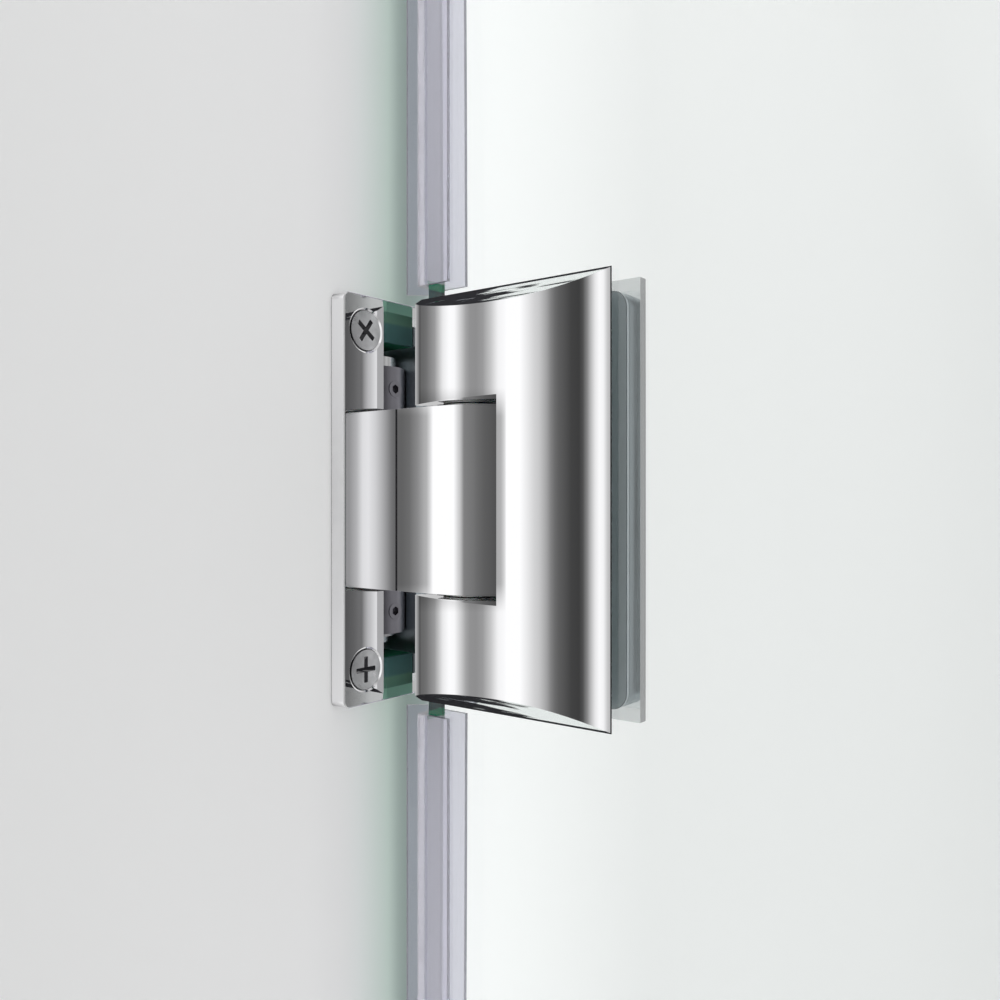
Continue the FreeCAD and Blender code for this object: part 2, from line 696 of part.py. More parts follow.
def detent(prefix, lift):
    """Build the plunger that presses on the pin's flats, and the outer form of its spring."""
    body = new_body(prefix + "_detent_plunger")
    stub_end = -S.plunger_stub_length
    spin(body, "PlungerTurned", [
        (ZERO, stub_end),
        (S.plunger_stub_radius, stub_end),
        (S.plunger_stub_radius, ZERO),
        (S.plunger_radius, ZERO),
        (S.plunger_radius, S.plunger_length),
        (ZERO, S.plunger_length),
    ])
    keep(body, lift, (PLUNGER_BACK, ZERO, ZERO), FROM_WALL)

    coil = new_body(prefix + "_detent_spring")
    wire = S.spring_wire_radius
    rims = (circle(ZERO, ZERO, S.spring_coil_radius + wire),
            circle(ZERO, ZERO, S.spring_coil_radius - wire))
    room = PLUNGER_BACK - S.plate_thickness
    add_solid(coil, "CoilSleeve", "Z", S.seat_clearance, room - S.seat_clearance, *rims)
    keep(coil, lift, (S.plate_thickness, ZERO, ZERO), FROM_WALL)


def wall_side_fasteners(prefix, lift):
    """Place the wall screws, the knuckle's screws and the bushings."""
    places = []
    for side in SIDES:
        for end in SIDES:
            place = (S.plate_thickness, S.wall_screw_half_width * side,
                     S.wall_screw_half_height * end)
            places.append((place, TO_WALL))
    group(prefix + "_wall_screws", wall_screw, places, lift)
    places = []
    for end in SIDES:
        places.append(((ZERO, ZERO, S.block_screw_half_spacing * end), FROM_WALL))
    group(prefix + "_block_screws", block_screw, places, lift)
    places = [
        ((S.pivot_from_wall, ZERO, S.knuckle_half_height), UPRIGHT),
        ((S.pivot_from_wall, ZERO, -S.knuckle_half_height), UPSIDE_DOWN),
    ]
    group(prefix + "_pivot_bushings", bushing, places, lift)


# The door side of a hinge
def notch(reach, overrun):
    """Return the opening round the knuckle, seen from the front."""
    return rectangle(reach - overrun, NOTCH_EDGE, -NOTCH_HALF, NOTCH_HALF)


def cutout(start, lift, margin):
    """Return the rectangular part of the glass cut-out."""
    half = S.cutout_half_height + margin
    return [rectangle(start, CUTOUT_EDGE + margin, lift - half, lift + half)]


def ears(lift, margin):
    """Return the two round ears of the cut-out."""
    radius = S.ear_radius + margin
    return [circle(EAR_X, lift + EAR_Z * end, radius) for end in SIDES]


def outer_cover(prefix, lift):
    """Build the lens-shaped cover with slanted ends, its notch and its two pin bosses."""
    body = new_body(prefix + "_outer_cover")
    near_edge = S.cover_wall_gap
    peak = near_edge + S.cover_peak_from_edge
    edge_face = OUTER_FACE - S.cover_edge_thickness
    peak_face = OUTER_FACE - S.cover_peak_thickness
    tip_face = OUTER_FACE - S.cover_tip_thickness
    rise = S.cover_peak_thickness - S.cover_edge_thickness
    fall = S.cover_peak_thickness - S.cover_tip_thickness
    far_run = COVER_TIP - peak
    near_run = S.cover_peak_from_edge
    near_radius = (near_run * near_run + rise * rise) / (rise * 2)
    far_radius = (far_run * far_run + fall * fall) / (fall * 2)
    plan = outline(
        [(near_edge, OUTER_FACE), (near_edge, edge_face), (peak, peak_face),
         (COVER_TIP, tip_face), (COVER_TIP, OUTER_FACE)],
        {1: (near_radius, 1), 2: (far_radius, 1)},
    )
    add_solid(body, "Lens", "Z", -HALF_HINGE, HALF_HINGE, plan)
    depth = S.cover_peak_thickness + S.overrun
    slope_drop = depth * COVER_END_SLOPE_SHARE
    for end, name in zip(SIDES, ("UpperSlant", "LowerSlant")):
        top = HALF_HINGE * end
        wedge = outline([
            (OUTER_FACE, top),
            (OUTER_FACE - depth, top - slope_drop * end),
            (OUTER_FACE - depth, top + S.overrun * end),
            (OUTER_FACE, top + S.overrun * end),
        ])
        cut_away(body, name, "X", near_edge - S.overrun, COVER_TIP + S.overrun, wedge)
    cut_away(body, "Notch", "Y", peak_face - S.overrun, OUTER_FACE + S.overrun,
             notch(near_edge, S.overrun))
    pivot = S.pivot_from_wall
    for end, name in zip(SIDES, ("UpperBoss", "LowerBoss")):
        low, high = (NOTCH_HALF, BOSS_TOP) if end > 0 else (-BOSS_TOP, -NOTCH_HALF)
        add_solid(body, name, "Z", low, high, circle(pivot, ZERO, S.boss_radius))
    boss_face = INNER_FACE - S.boss_plate_gap
    shaved = rectangle(pivot - S.boss_radius - S.overrun, pivot + S.boss_radius + S.overrun,
                       boss_face, S.boss_radius + S.overrun)
    cut_away(body, "BossFlat", "Z", -BOSS_TOP - S.overrun, BOSS_TOP + S.overrun, shaved)
    bore = circle(pivot, ZERO, S.pin_radius + S.seat_clearance)
    cut_away(body, "PinBore", "Z", -BOSS_TOP - S.overrun, BOSS_TOP + S.overrun, bore)
    set_height = NOTCH_HALF + S.set_screw_from_notch
    holes = [circle(ZERO, set_height * end, S.set_screw_radius + S.seat_clearance) for end in SIDES]
    cut_away(body, "SetScrewHoles", "X", pivot - S.boss_radius - S.overrun, pivot, *holes)
    thread = S.clamp_screw_radius + S.seat_clearance
    threads = [circle(EAR_X, EAR_Z * end, thread) for end in SIDES]
    cut_away(body, "ClampThreads", "Y", OUTER_FACE - S.clamp_thread_depth,
             OUTER_FACE + S.overrun, *threads)
    keep(body, lift)


def gasket(name, low, high, lift):
    """Build a clear gasket that follows the glass round its cut-out."""
    body = new_body(name)
    start = S.cover_wall_gap + S.gasket_inset
    far = COVER_TIP - S.gasket_inset
    half = S.gasket_half_height
    add_solid(body, "Sheet", "Y", low, high, rectangle(start, far, -half, half))
    soften(body, "Fillet", "Corners", S.gasket_corner_radius,
           lambda edge: runs_along(edge, "Y") and near(edge.BoundBox.XMax, far))
    margin = S.seal_end_gap
    opening = cutout(start - S.overrun, ZERO, margin)
    cut_away(body, "CutOut", "Y", low - S.overrun, high + S.overrun, *opening)
    cut_away(body, "Ears", "Y", low - S.overrun, high + S.overrun, *ears(ZERO, margin))
    keep(body, lift)


def clamp_plate(prefix, lift):
    """Build the steel plate that clamps the glass from inside the shower."""
    body = new_body(prefix + "_clamp_plate")
    start = S.cover_wall_gap + S.gasket_inset
    far = COVER_TIP - S.gasket_inset
    half = S.gasket_half_height
    low, high = INNER_FACE, CLAMP_PLATE_BACK
    add_solid(body, "Plate", "Y", low, high, rectangle(start, far, -half, half))
    soften(body, "Fillet", "Corners", S.gasket_corner_radius,
           lambda edge: runs_along(edge, "Y") and near(edge.BoundBox.XMax, far))
    cut_away(body, "Notch", "Y", low - S.overrun, high + S.overrun, notch(start, S.overrun))
    hole = S.clamp_screw_radius + S.screw_hole_clearance
    holes = [circle(EAR_X, EAR_Z * end, hole) for end in SIDES]
    cut_away(body, "ScrewHoles", "Y", low - S.overrun, high + S.overrun, *holes)
    soften(body, "Chamfer", "Countersinks", S.clamp_plate_thickness - S.seat_clearance,
           lambda edge: is_round(edge, hole) and near(edge.BoundBox.YMax, high))
    peg_hole = S.peg_radius + S.seat_clearance
    peg_x = COVER_TIP - S.peg_from_tip
    pegs = [circle(peg_x, S.peg_half_spacing * end, peg_hole) for end in SIDES]
    cut_away(body, "PegHoles", "Y", low - S.overrun, high + S.overrun, *pegs)
    keep(body, lift)


def inner_cover(prefix, lift):
    """Build the flat cover that hides the clamp screws, with its two pegs."""
    body = new_body(prefix + "_inner_cover")
    low = CLAMP_PLATE_BACK
    high = low + S.inner_cover_thickness
    start = S.cover_wall_gap
    add_solid(body, "Cover", "Y", low, high, rectangle(start, COVER_TIP, -HALF_HINGE, HALF_HINGE))
    cut_away(body, "Notch", "Y", low - S.overrun, high + S.overrun, notch(start, S.overrun))
    soften(body, "Chamfer", "EdgeBreak", S.inner_cover_edge_break,
           lambda edge: near(edge.BoundBox.YMin, high))
    peg_x = COVER_TIP - S.peg_from_tip
    pegs = [circle(peg_x, S.peg_half_spacing * end, S.peg_radius) for end in SIDES]
    add_solid(body, "Pegs", "Y", low - S.peg_length, low + S.inner_cover_edge_break, *pegs)
    keep(body, lift)


def door_side_fasteners(prefix, lift):
    """Place the clamp screws with their sleeves and the set screws that lock the pin."""
    places = [((EAR_X, CLAMP_PLATE_BACK, EAR_Z * end), TO_DRY_SIDE) for end in SIDES]
    group(prefix + "_clamp_screws", clamp_screw, places, lift)
    places = [((EAR_X, HALF_GLASS, EAR_Z * end), TO_DRY_SIDE) for end in SIDES]
    group(prefix + "_clamp_sleeves", clamp_sleeve, places, lift)
    set_height = NOTCH_HALF + S.set_screw_from_notch
    set_start = S.pivot_from_wall - S.boss_radius
    places = [((set_start, ZERO, set_height * end), FROM_WALL) for end in SIDES]
    group(prefix + "_pin_set_screws", pin_set_screw, places, lift)


def hinge(prefix, lift):
    """Build one whole hinge at a height."""
    wall_plate(prefix, lift)
    knuckle_block(prefix, lift)
    wall_side_fasteners(prefix, lift)
    detent(prefix, lift)
    pivot_pin(prefix, lift)
    pin_clip(prefix, lift)
    outer_cover(prefix, lift)
    gasket(prefix + "_outer_gasket", OUTER_FACE, -HALF_GLASS, lift)
    gasket(prefix + "_inner_gasket", HALF_GLASS, INNER_FACE, lift)
    clamp_plate(prefix, lift)
    inner_cover(prefix, lift)
    door_side_fasteners(prefix, lift)


# The glass and the seals on its edges
def glass_panel():
    """Build the glass with a cut-out at each hinge and two holes for the handle."""
    body = new_body("glass_panel")
    add_solid(body, "Panel", "Y", -HALF_GLASS, HALF_GLASS,
              rectangle(S.glass_gap, GLASS_FAR, GLASS_BOTTOM, GLASS_TOP))
    soften(body, "Chamfer", "Arris", S.glass_arris, lambda edge: not runs_along(edge, "Y"))
    low, high = -HALF_GLASS - S.overrun, HALF_GLASS + S.overrun
    for prefix, lift in zip(HINGE_NAMES, (ZERO, LOWER_HINGE_Z)):
        opening = cutout(S.glass_gap - S.overrun, lift, ZERO)
        cut_away(body, prefix + "CutOut", "Y", low, high, *opening)
        cut_away(body, prefix + "Ears", "Y", low, high, *ears(lift, ZERO))
    posts = [circle(HANDLE_X, S.handle_half_centres * end - S.handle_below_hinge,
                    S.handle_hole_radius) for end in SIDES]
    cut_away(body, "HandleHoles", "Y", low, high, *posts)
    keep(body)


def hinge_seal(label, low, high):
    """Build a length of the clear seal that snaps on the hinge edge and fins the wall gap."""
    body = new_body(label)
    inner = S.glass_gap - S.seal_glass_gap
    outer = inner - S.seal_spine
    leg_face = HALF_GLASS + S.seal_wall
    fin_tip = leg_face - S.seal_fin_drop
    fin = S.seal_fin_thickness
    wall = S.seal_fin_wall_gap
    profile = outline([
        (inner + S.seal_outer_leg, -leg_face),
        (outer, -leg_face),
        (outer, leg_face - fin),
        (wall, fin_tip - fin),
        (wall, fin_tip),
        (outer, leg_face),
        (inner + S.seal_inner_leg, leg_face),
        (inner + S.seal_inner_leg, HALF_GLASS),
        (inner, HALF_GLASS),
        (inner, -HALF_GLASS),
        (inner + S.seal_outer_leg, -HALF_GLASS),
    ])
    add_solid(body, "Seal", "Z", low, high, profile)
    keep(body)


def strike_seal():
    """Build the clear seal on the closing edge, with its fin pointing past the glass."""
    body = new_body("strike_seal")
    inner = GLASS_FAR + S.seal_glass_gap
    outer = inner + S.seal_spine
    leg_face = HALF_GLASS + S.seal_wall
    tip = outer + S.strike_fin_reach
    fin_tip = leg_face - S.seal_fin_drop
    profile = outline([
        (inner - S.seal_outer_leg, -leg_face),
        (outer, -leg_face),
        (outer, leg_face - S.seal_fin_thickness),
        (tip, fin_tip - S.seal_fin_thickness),
        (tip, fin_tip),
        (outer, leg_face),
        (inner - S.seal_inner_leg, leg_face),
        (inner - S.seal_inner_leg, HALF_GLASS),
        (inner, HALF_GLASS),
        (inner, -HALF_GLASS),
        (inner - S.seal_outer_leg, -HALF_GLASS),
    ])
    add_solid(body, "Seal", "Z", GLASS_BOTTOM + S.sweep_leg + S.seal_end_gap, GLASS_TOP, profile)
    keep(body)


def bottom_sweep():
    """Build the clear sweep under the glass, with two wiping fins and a drip rail."""
    body = new_body("bottom_sweep")
    leg_face = HALF_GLASS + S.seal_wall
    top = GLASS_BOTTOM + S.sweep_leg
    seat = GLASS_BOTTOM - S.seal_glass_gap
    base = seat - S.seal_spine
    lip = base - S.sweep_fin
    thin = S.sweep_fin_thickness
    lean = leg_face + S.sweep_fin_lean
    rail_root = GLASS_BOTTOM + S.seal_spine
    rail_tip = rail_root - S.drip_fall
    profile = outline([
        (-leg_face, top),
        (-leg_face, base),
        (-lean, lip),
        (-lean + thin, lip),
        (-leg_face + thin, base),
        (leg_face - thin, base),
        (lean - thin, lip),
        (lean, lip),
        (leg_face, base),
        (leg_face, rail_root - S.drip_thickness),
        (leg_face + S.drip_reach, rail_tip - S.drip_thickness),
        (leg_face + S.drip_reach, rail_tip),
        (leg_face, rail_root),
        (leg_face, top),
        (HALF_GLASS, top),
        (HALF_GLASS, seat),
        (-HALF_GLASS, seat),
        (-HALF_GLASS, top),
    ])
    add_solid(body, "Sweep", "X", S.glass_gap, GLASS_FAR, profile)
    keep(body)


# The handle
def handle(label, side):
    """Build one straight bar on two posts, on the dry (-1) or the wet (1) side."""
    body = new_body(label)
    bar = (HANDLE_FOOT + S.handle_projection) * side
    ends = S.handle_half_length
    add_solid(body, "Bar", "Z", -ends, ends, circle(ZERO, bar, S.handle_radius))
    soften(body, "Chamfer", "BarEnds", S.handle_end_bevel,
           lambda edge: is_round(edge, S.handle_radius))
    posts = [S.handle_half_centres * end for end in SIDES]
    low, high = (HANDLE_FOOT, bar) if side > 0 else (bar, -HANDLE_FOOT)
    rounds = [circle(ZERO, z, S.handle_post_radius) for z in posts]
    add_solid(body, "Posts", "Y", low, high, *rounds)
    engagement = S.handle_stud_engagement + S.thread_end_room
    low, high = (HANDLE_FOOT - S.overrun, HANDLE_FOOT + engagement)
    if side < 0:
        low, high = -high, -low
    bore = S.handle_stud_radius + S.seat_clearance
    cut_away(body, "StudBores", "Y", low, high, *[circle(ZERO, z, bore) for z in posts])
    if side > 0:
        grub = circle(ZERO, HANDLE_FOOT + S.handle_set_screw_from_end,
                      S.handle_set_screw_radius + S.seat_clearance)
        for z, name in zip(posts, ("UpperSetHole", "LowerSetHole")):
            cut_away(body, name, "Z", z - S.handle_post_radius - S.overrun, z, grub)
    keep(body, -S.handle_below_hinge, (HANDLE_X, ZERO, ZERO))


def handle_fasteners():
    """Place the studs, washers, sleeves and set screws of the handle."""
    stud = new_body("handle_stud_pattern")
    half = HANDLE_FOOT + S.handle_stud_engagement
    add_solid(stud, "Stud", "Y", -half, half, circle(ZERO, ZERO, S.handle_stud_radius))
    centre = -S.handle_below_hinge
    posts = [S.handle_half_centres * end for end in SIDES]
    group("handle_studs", stud, [((HANDLE_X, ZERO, z), UPRIGHT) for z in posts], centre)
    washers = []
    for z in posts:
        washers.append(((HANDLE_X, HANDLE_FOOT, z), TO_DRY_SIDE))
        washers.append(((HANDLE_X, -HALF_GLASS, z), TO_DRY_SIDE))
    group("handle_washers", handle_washer, washers, centre)
    sleeves = [((HANDLE_X, HALF_GLASS, z), TO_DRY_SIDE) for z in posts]
    group("handle_sleeves", handle_sleeve, sleeves, centre)
    set_y = HANDLE_FOOT + S.handle_set_screw_from_end
    sets = [((HANDLE_X, set_y, z - S.handle_post_radius), UPRIGHT) for z in posts]
    group("handle_set_screws", handle_set_screw, sets, centre)


for hinge_name, hinge_lift in zip(HINGE_NAMES, (ZERO, LOWER_HINGE_Z)):
    hinge(hinge_name, hinge_lift)
glass_panel()
hinge_seal("hinge_seal_top", SEAL_START, GLASS_TOP)
hinge_seal("hinge_seal_middle", LOWER_HINGE_Z + SEAL_START, -SEAL_START)
hinge_seal("hinge_seal_bottom", GLASS_BOTTOM + S.sweep_leg + S.seal_end_gap,
           LOWER_HINGE_Z - SEAL_START)
strike_seal()
bottom_sweep()
handle("handle_outer", -1)
handle("handle_inner", 1)
handle_fasteners()
DOC.recompute()

# The checks before anything is written
for item in DOC.Objects:
    if "Invalid" in item.State or "Error" in item.State:
        raise RuntimeError("%s has failed: %s" % (item.Label, item.State))
for node in NODES:
    if node.Shape.isNull() or not node.Shape.isValid() or not node.Shape.Solids:
        raise RuntimeError("%s has no valid solid" % node.Label)

os.makedirs("parts", exist_ok=True)
for node in NODES:
    node.Shape.exportStep(os.path.join("parts", node.Label + ".step"))
    print("%-24s solids %d volume %.1f" % (node.Label, len(node.Shape.Solids), node.Shape.Volume))
print("nodes", len(NODES), "travel of a plunger", (S.pin_flat_depth).value)
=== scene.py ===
"""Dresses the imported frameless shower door: polished hinges, clear glass, clear seals, pull handle.

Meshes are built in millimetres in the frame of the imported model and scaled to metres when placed:
X = 0 is the wall face, +X runs along the closed door, -Y is the dry side, +Z is up.
"""

import logging
import math
from abc import ABC, abstractmethod
from dataclasses import dataclass, field
from enum import Enum
from typing import Callable, Iterable, Optional, Sequence, Union

import bmesh
import bpy
from mathutils import Matrix, Vector


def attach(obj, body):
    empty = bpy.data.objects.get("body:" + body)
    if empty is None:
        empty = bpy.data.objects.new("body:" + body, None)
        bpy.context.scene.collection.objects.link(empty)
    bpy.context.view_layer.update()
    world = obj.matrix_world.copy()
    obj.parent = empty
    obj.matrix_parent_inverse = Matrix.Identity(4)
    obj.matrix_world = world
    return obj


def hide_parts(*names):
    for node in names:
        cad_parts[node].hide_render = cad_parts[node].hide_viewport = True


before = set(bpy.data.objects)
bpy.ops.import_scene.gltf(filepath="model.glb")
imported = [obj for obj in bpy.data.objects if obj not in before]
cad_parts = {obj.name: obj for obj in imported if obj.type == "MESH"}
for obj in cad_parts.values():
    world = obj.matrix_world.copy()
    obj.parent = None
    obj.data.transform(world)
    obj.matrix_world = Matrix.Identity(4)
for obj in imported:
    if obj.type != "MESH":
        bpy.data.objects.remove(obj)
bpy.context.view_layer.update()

MM = 0.001
SIDES = (1, -1)
ALONG = 0.97  # the least part of a unit normal that counts as along an axis
PAST = 1.0  # how far a cutting shape runs past what it cuts
LOWER_HINGE = -1371.0
LOG = logging.getLogger("shower_door")

Point2 = tuple[float, float]
Height = Union[float, Callable[[float, float], float]]
Socket = bpy.types.NodeSocket
Tone = Union[float, Sequence[float], Socket]
Marks = Sequence[tuple[float, Tone]]
Face = bpy.types.MeshPolygon


class Body(Enum):
    """The bodies that pieces ride on."""

    WALL = "wall_side"
    DOOR = "door"
    UPPER_PLUNGER = "upper_plunger"
    LOWER_PLUNGER = "lower_plunger"


class Slot(Enum):
    """The record's material slots."""

    CHROME = "chrome"
    SCREW_CHROME = "screw_chrome"
    ZINC_STEEL = "zinc_steel"
    CLAMP_STEEL = "clamp_steel"
    PIN_STEEL = "pin_steel"
    SPRING_STEEL = "spring_steel"
    NYLON = "nylon"
    CLEAR_GASKET = "clear_gasket"
    CLEAR_VINYL = "clear_vinyl"
    CLEAR_GLASS = "clear_glass"


class Axis(Enum):
    """The axis that a flat outline is drawn out along."""

    X = "X"
    Y = "Y"
    Z = "Z"


# ---------------------------------------------------------------------------------------------
# Node trees
# ---------------------------------------------------------------------------------------------
def full_tone(tone: Tone) -> Union[Sequence[float], Socket]:
    """Returns a grey or a colour with its alpha, and a socket as it is."""
    if isinstance(tone, Socket):
        return tone
    return (tone, tone, tone, 1.0) if isinstance(tone, float) else (*tone, 1.0)


class NodeGraph:
    """A node tree that is written one node at a time."""

    def __init__(self, tree: bpy.types.NodeTree) -> None:
        """Starts from an empty tree."""
        self.tree = tree
        tree.nodes.clear()

    def add(self, kind: str, feeds: Optional[dict] = None, **settings: object) -> bpy.types.Node:
        """Adds a node.

        Args:
            kind: the node's type name.
            feeds: a value or an output socket for each named or numbered input.
            **settings: the node's own properties.

        Returns:
            The new node.
        """
        node = self.tree.nodes.new(kind)
        for name, value in settings.items():
            setattr(node, name, value)
        for socket, value in (feeds or {}).items():
            if isinstance(value, Socket):
                self.tree.links.new(value, node.inputs[socket])
            else:
                node.inputs[socket].default_value = value
        return node

    def link(self, output: Socket, target: Socket) -> None:
        """Joins an output to an input."""
        self.tree.links.new(output, target)

    def calc(self, operation: str, *values: Union[float, Socket]) -> Socket:
        """Adds a math node and returns its result."""
        return self.add("ShaderNodeMath", dict(enumerate(values)), operation=operation).outputs[0]

    def spread(
        self, value: Socket, low: float, high: float, start: float = 0.0, end: float = 1.0, curve: str = "LINEAR"
    ) -> Socket:
        """Maps a value from low..high to start..end and holds it at the ends.

        Args:
            value: what is mapped.
            low: the value that gives start.
            high: the value that gives end.
            start: the first result.
            end: the last result.
            curve: how it runs between them.

        Returns:
            The result.
        """
        feeds = {"Value": value, "From Min": low, "From Max": high, "To Min": start, "To Max": end}
        return self.add("ShaderNodeMapRange", feeds, interpolation_type=curve).outputs["Result"]

    def place(self) -> bpy.types.bpy_prop_collection:
        """Returns the X, Y and Z of the place on the piece."""
        point = self.add("ShaderNodeTexCoord").outputs["Object"]
        return self.add("ShaderNodeSeparateXYZ", {"Vector": point}).outputs

    def noise(self, scale: float, detail: float = 3.0, stretch: Sequence[float] = (1, 1, 1)) -> Socket:
        """Adds noise that is fixed to the piece.

        Args:
            scale: how many cells fit in a metre.
            detail: how many finer layers it has.
            stretch: how the pattern is scaled along each axis.

        Returns:
            The noise's factor, from 0 to 1.
        """
        point = self.add("ShaderNodeTexCoord").outputs["Object"]
        stretched = self.add("ShaderNodeMapping", {"Vector": point, "Scale": tuple(stretch)}).outputs["Vector"]
        feeds = {"Vector": stretched, "Scale": scale, "Detail": detail, "Roughness": 0.55}
        return self.add("ShaderNodeTexNoise", feeds).outputs[0]

    def between(self, factor: Socket, low: float, high: float) -> Socket:
        """Maps the middle of a noise's range to low..high."""
        return self.spread(factor, 0.3, 0.7, low, high)

    def mix(self, share: Union[float, Socket], low: Tone, high: Tone, blend: str = "MIX") -> Socket:
        """Mixes two colours.

        Args:
            share: how much of the second there is.
            low: the first colour.
            high: the second colour.
            blend: the way they are mixed.

        Returns:
            The mixed colour.
        """
        feeds = {0: share, 6: full_tone(low), 7: full_tone(high)}
        return self.add("ShaderNodeMix", feeds, data_type="RGBA", blend_type=blend).outputs[2]

    def clouded(self, tone: Sequence[float], shade: float, scale: float) -> Socket:
        """Returns a tone that a noise darkens in places down to a share of it."""
        return self.mix(self.noise(scale), [channel * shade for channel in tone], tone)

    def ramp(self, value: Socket, marks: Marks) -> Socket:
        """Adds a colour ramp over a value.

        Args:
            value: what the ramp reads.
            marks: the value and the colour or grey of each stop, 32 at most, in rising order.

        Returns:
            The ramp's colour.
        """
        low, high = marks[0][0], marks[-1][0]
        ramp = self.add("ShaderNodeValToRGB", {"Fac": self.spread(value, low, high)})
        stops = ramp.color_ramp.elements
        for mark, _ in marks[1:-1]:
            stops.new((mark - low) / (high - low))
        for stop, (mark, tone) in zip(stops, marks):
            stop.position = (mark - low) / (high - low)
            stop.color = full_tone(tone)
        return ramp.outputs["Color"]

    def bump(self, height: Socket, strength: float, distance: float) -> Socket:
        """Adds a bump from a height."""
        return self.add("ShaderNodeBump", {"Height": height, "Strength": strength, "Distance": distance}).outputs[0]

    def surface(self, **feeds: object) -> bpy.types.Node:
        """Adds the principled shader, with underscores for the spaces of its inputs' names."""
        return self.add("ShaderNodeBsdfPrincipled", {name.replace("_", " "): value for name, value in feeds.items()})

    def either(self, share: Socket, first: bpy.types.Node, second: bpy.types.Node) -> bpy.types.Node:
        """Mixes two shaders."""
        return self.add("ShaderNodeMixShader", {0: share, 1: first.outputs[0], 2: second.outputs[0]})


# ---------------------------------------------------------------------------------------------
# Finishes
# ---------------------------------------------------------------------------------------------
@dataclass(frozen=True)
class Finish(ABC):
    """A finish that makes its own material once."""

    name: str

    def material(self) -> bpy.types.Material:
        """Returns this finish's material, made at its first use."""
        made = bpy.data.materials.get("finish_" + self.name)
        if made is None:
            made = bpy.data.materials.new("finish_" + self.name)
            made.use_nodes = True
            graph = NodeGraph(made.node_tree)
            graph.add("ShaderNodeOutputMaterial", {"Surface": self.shader(graph).outputs[0]})
        return made

    @abstractmethod
    def shader(self, graph: NodeGraph) -> bpy.types.Node:
        """Writes the shader's nodes and returns the last one."""


@dataclass(frozen=True)
class Metal(Finish):
    """Polished, satin or ground metal."""

    tone: Sequence[float] = (0.8, 0.8, 0.81)
    shade: float = 0.97
    gloss: Sequence[float] = (0.02, 0.04)
    grain: float = 90.0
    patches: float = 35.0
    stretch: Sequence[float] = (1.0, 1.0, 1.0)
    ripple: float = 0.0

    def shader(self, graph: NodeGraph) -> bpy.types.Node:
        """Writes a metal with a cloudy polish and, where it has one, a fine grain."""
        cloud = graph.noise(self.grain, detail=4.0, stretch=self.stretch)
        tone = graph.clouded(self.tone, self.shade, self.patches)
        metal = graph.surface(Base_Color=tone, Metallic=1.0, Roughness=graph.between(cloud, *self.gloss))
        if self.ripple:
            graph.link(graph.bump(cloud, self.ripple, distance=0.0004), metal.inputs["Normal"])
        return metal


@dataclass(frozen=True)
class Moulding(Finish):
    """Moulded plastic with a soft skin."""

    tone: Sequence[float] = (0.9, 0.9, 0.88)
    shade: float = 0.94
    gloss: Sequence[float] = (0.35, 0.5)
    grain: float = 240.0
    patches: float = 60.0
    ripple: float = 0.15

    def shader(self, graph: NodeGraph) -> bpy.types.Node:
        """Writes a plastic with faint flow marks."""
        flow = graph.noise(self.grain, detail=5.0)
        return graph.surface(
            Base_Color=graph.clouded(self.tone, self.shade, self.patches),
            Roughness=graph.between(flow, *self.gloss), Subsurface_Weight=0.1, Subsurface_Scale=0.001,
            Normal=graph.bump(flow, self.ripple, distance=0.0002),
        )


@dataclass(frozen=True)
class Clear(Finish):
    """Clear glass or plastic that lets the lamps through."""

    tone: Sequence[float] = (0.95, 0.98, 0.97)
    shade: float = 0.99
    gloss: Sequence[float] = (0.0, 0.01)
    index: float = 1.5
    milk: float = 0.0
    patches: float = 30.0

    def shader(self, graph: NodeGraph) -> bpy.types.Node:
        """Writes a clear shader that casts a thin shadow."""
        clear = graph.surface(
            Base_Color=graph.clouded(self.tone, self.shade, self.patches),
            Roughness=graph.between(graph.noise(self.patches), *self.gloss),
            Transmission_Weight=1.0 - self.milk, IOR=self.index,
        )
        through = graph.add("ShaderNodeBsdfTransparent", {"Color": full_tone(self.tone)})
        return graph.either(graph.add("ShaderNodeLightPath").outputs["Is Shadow Ray"], clear, through)


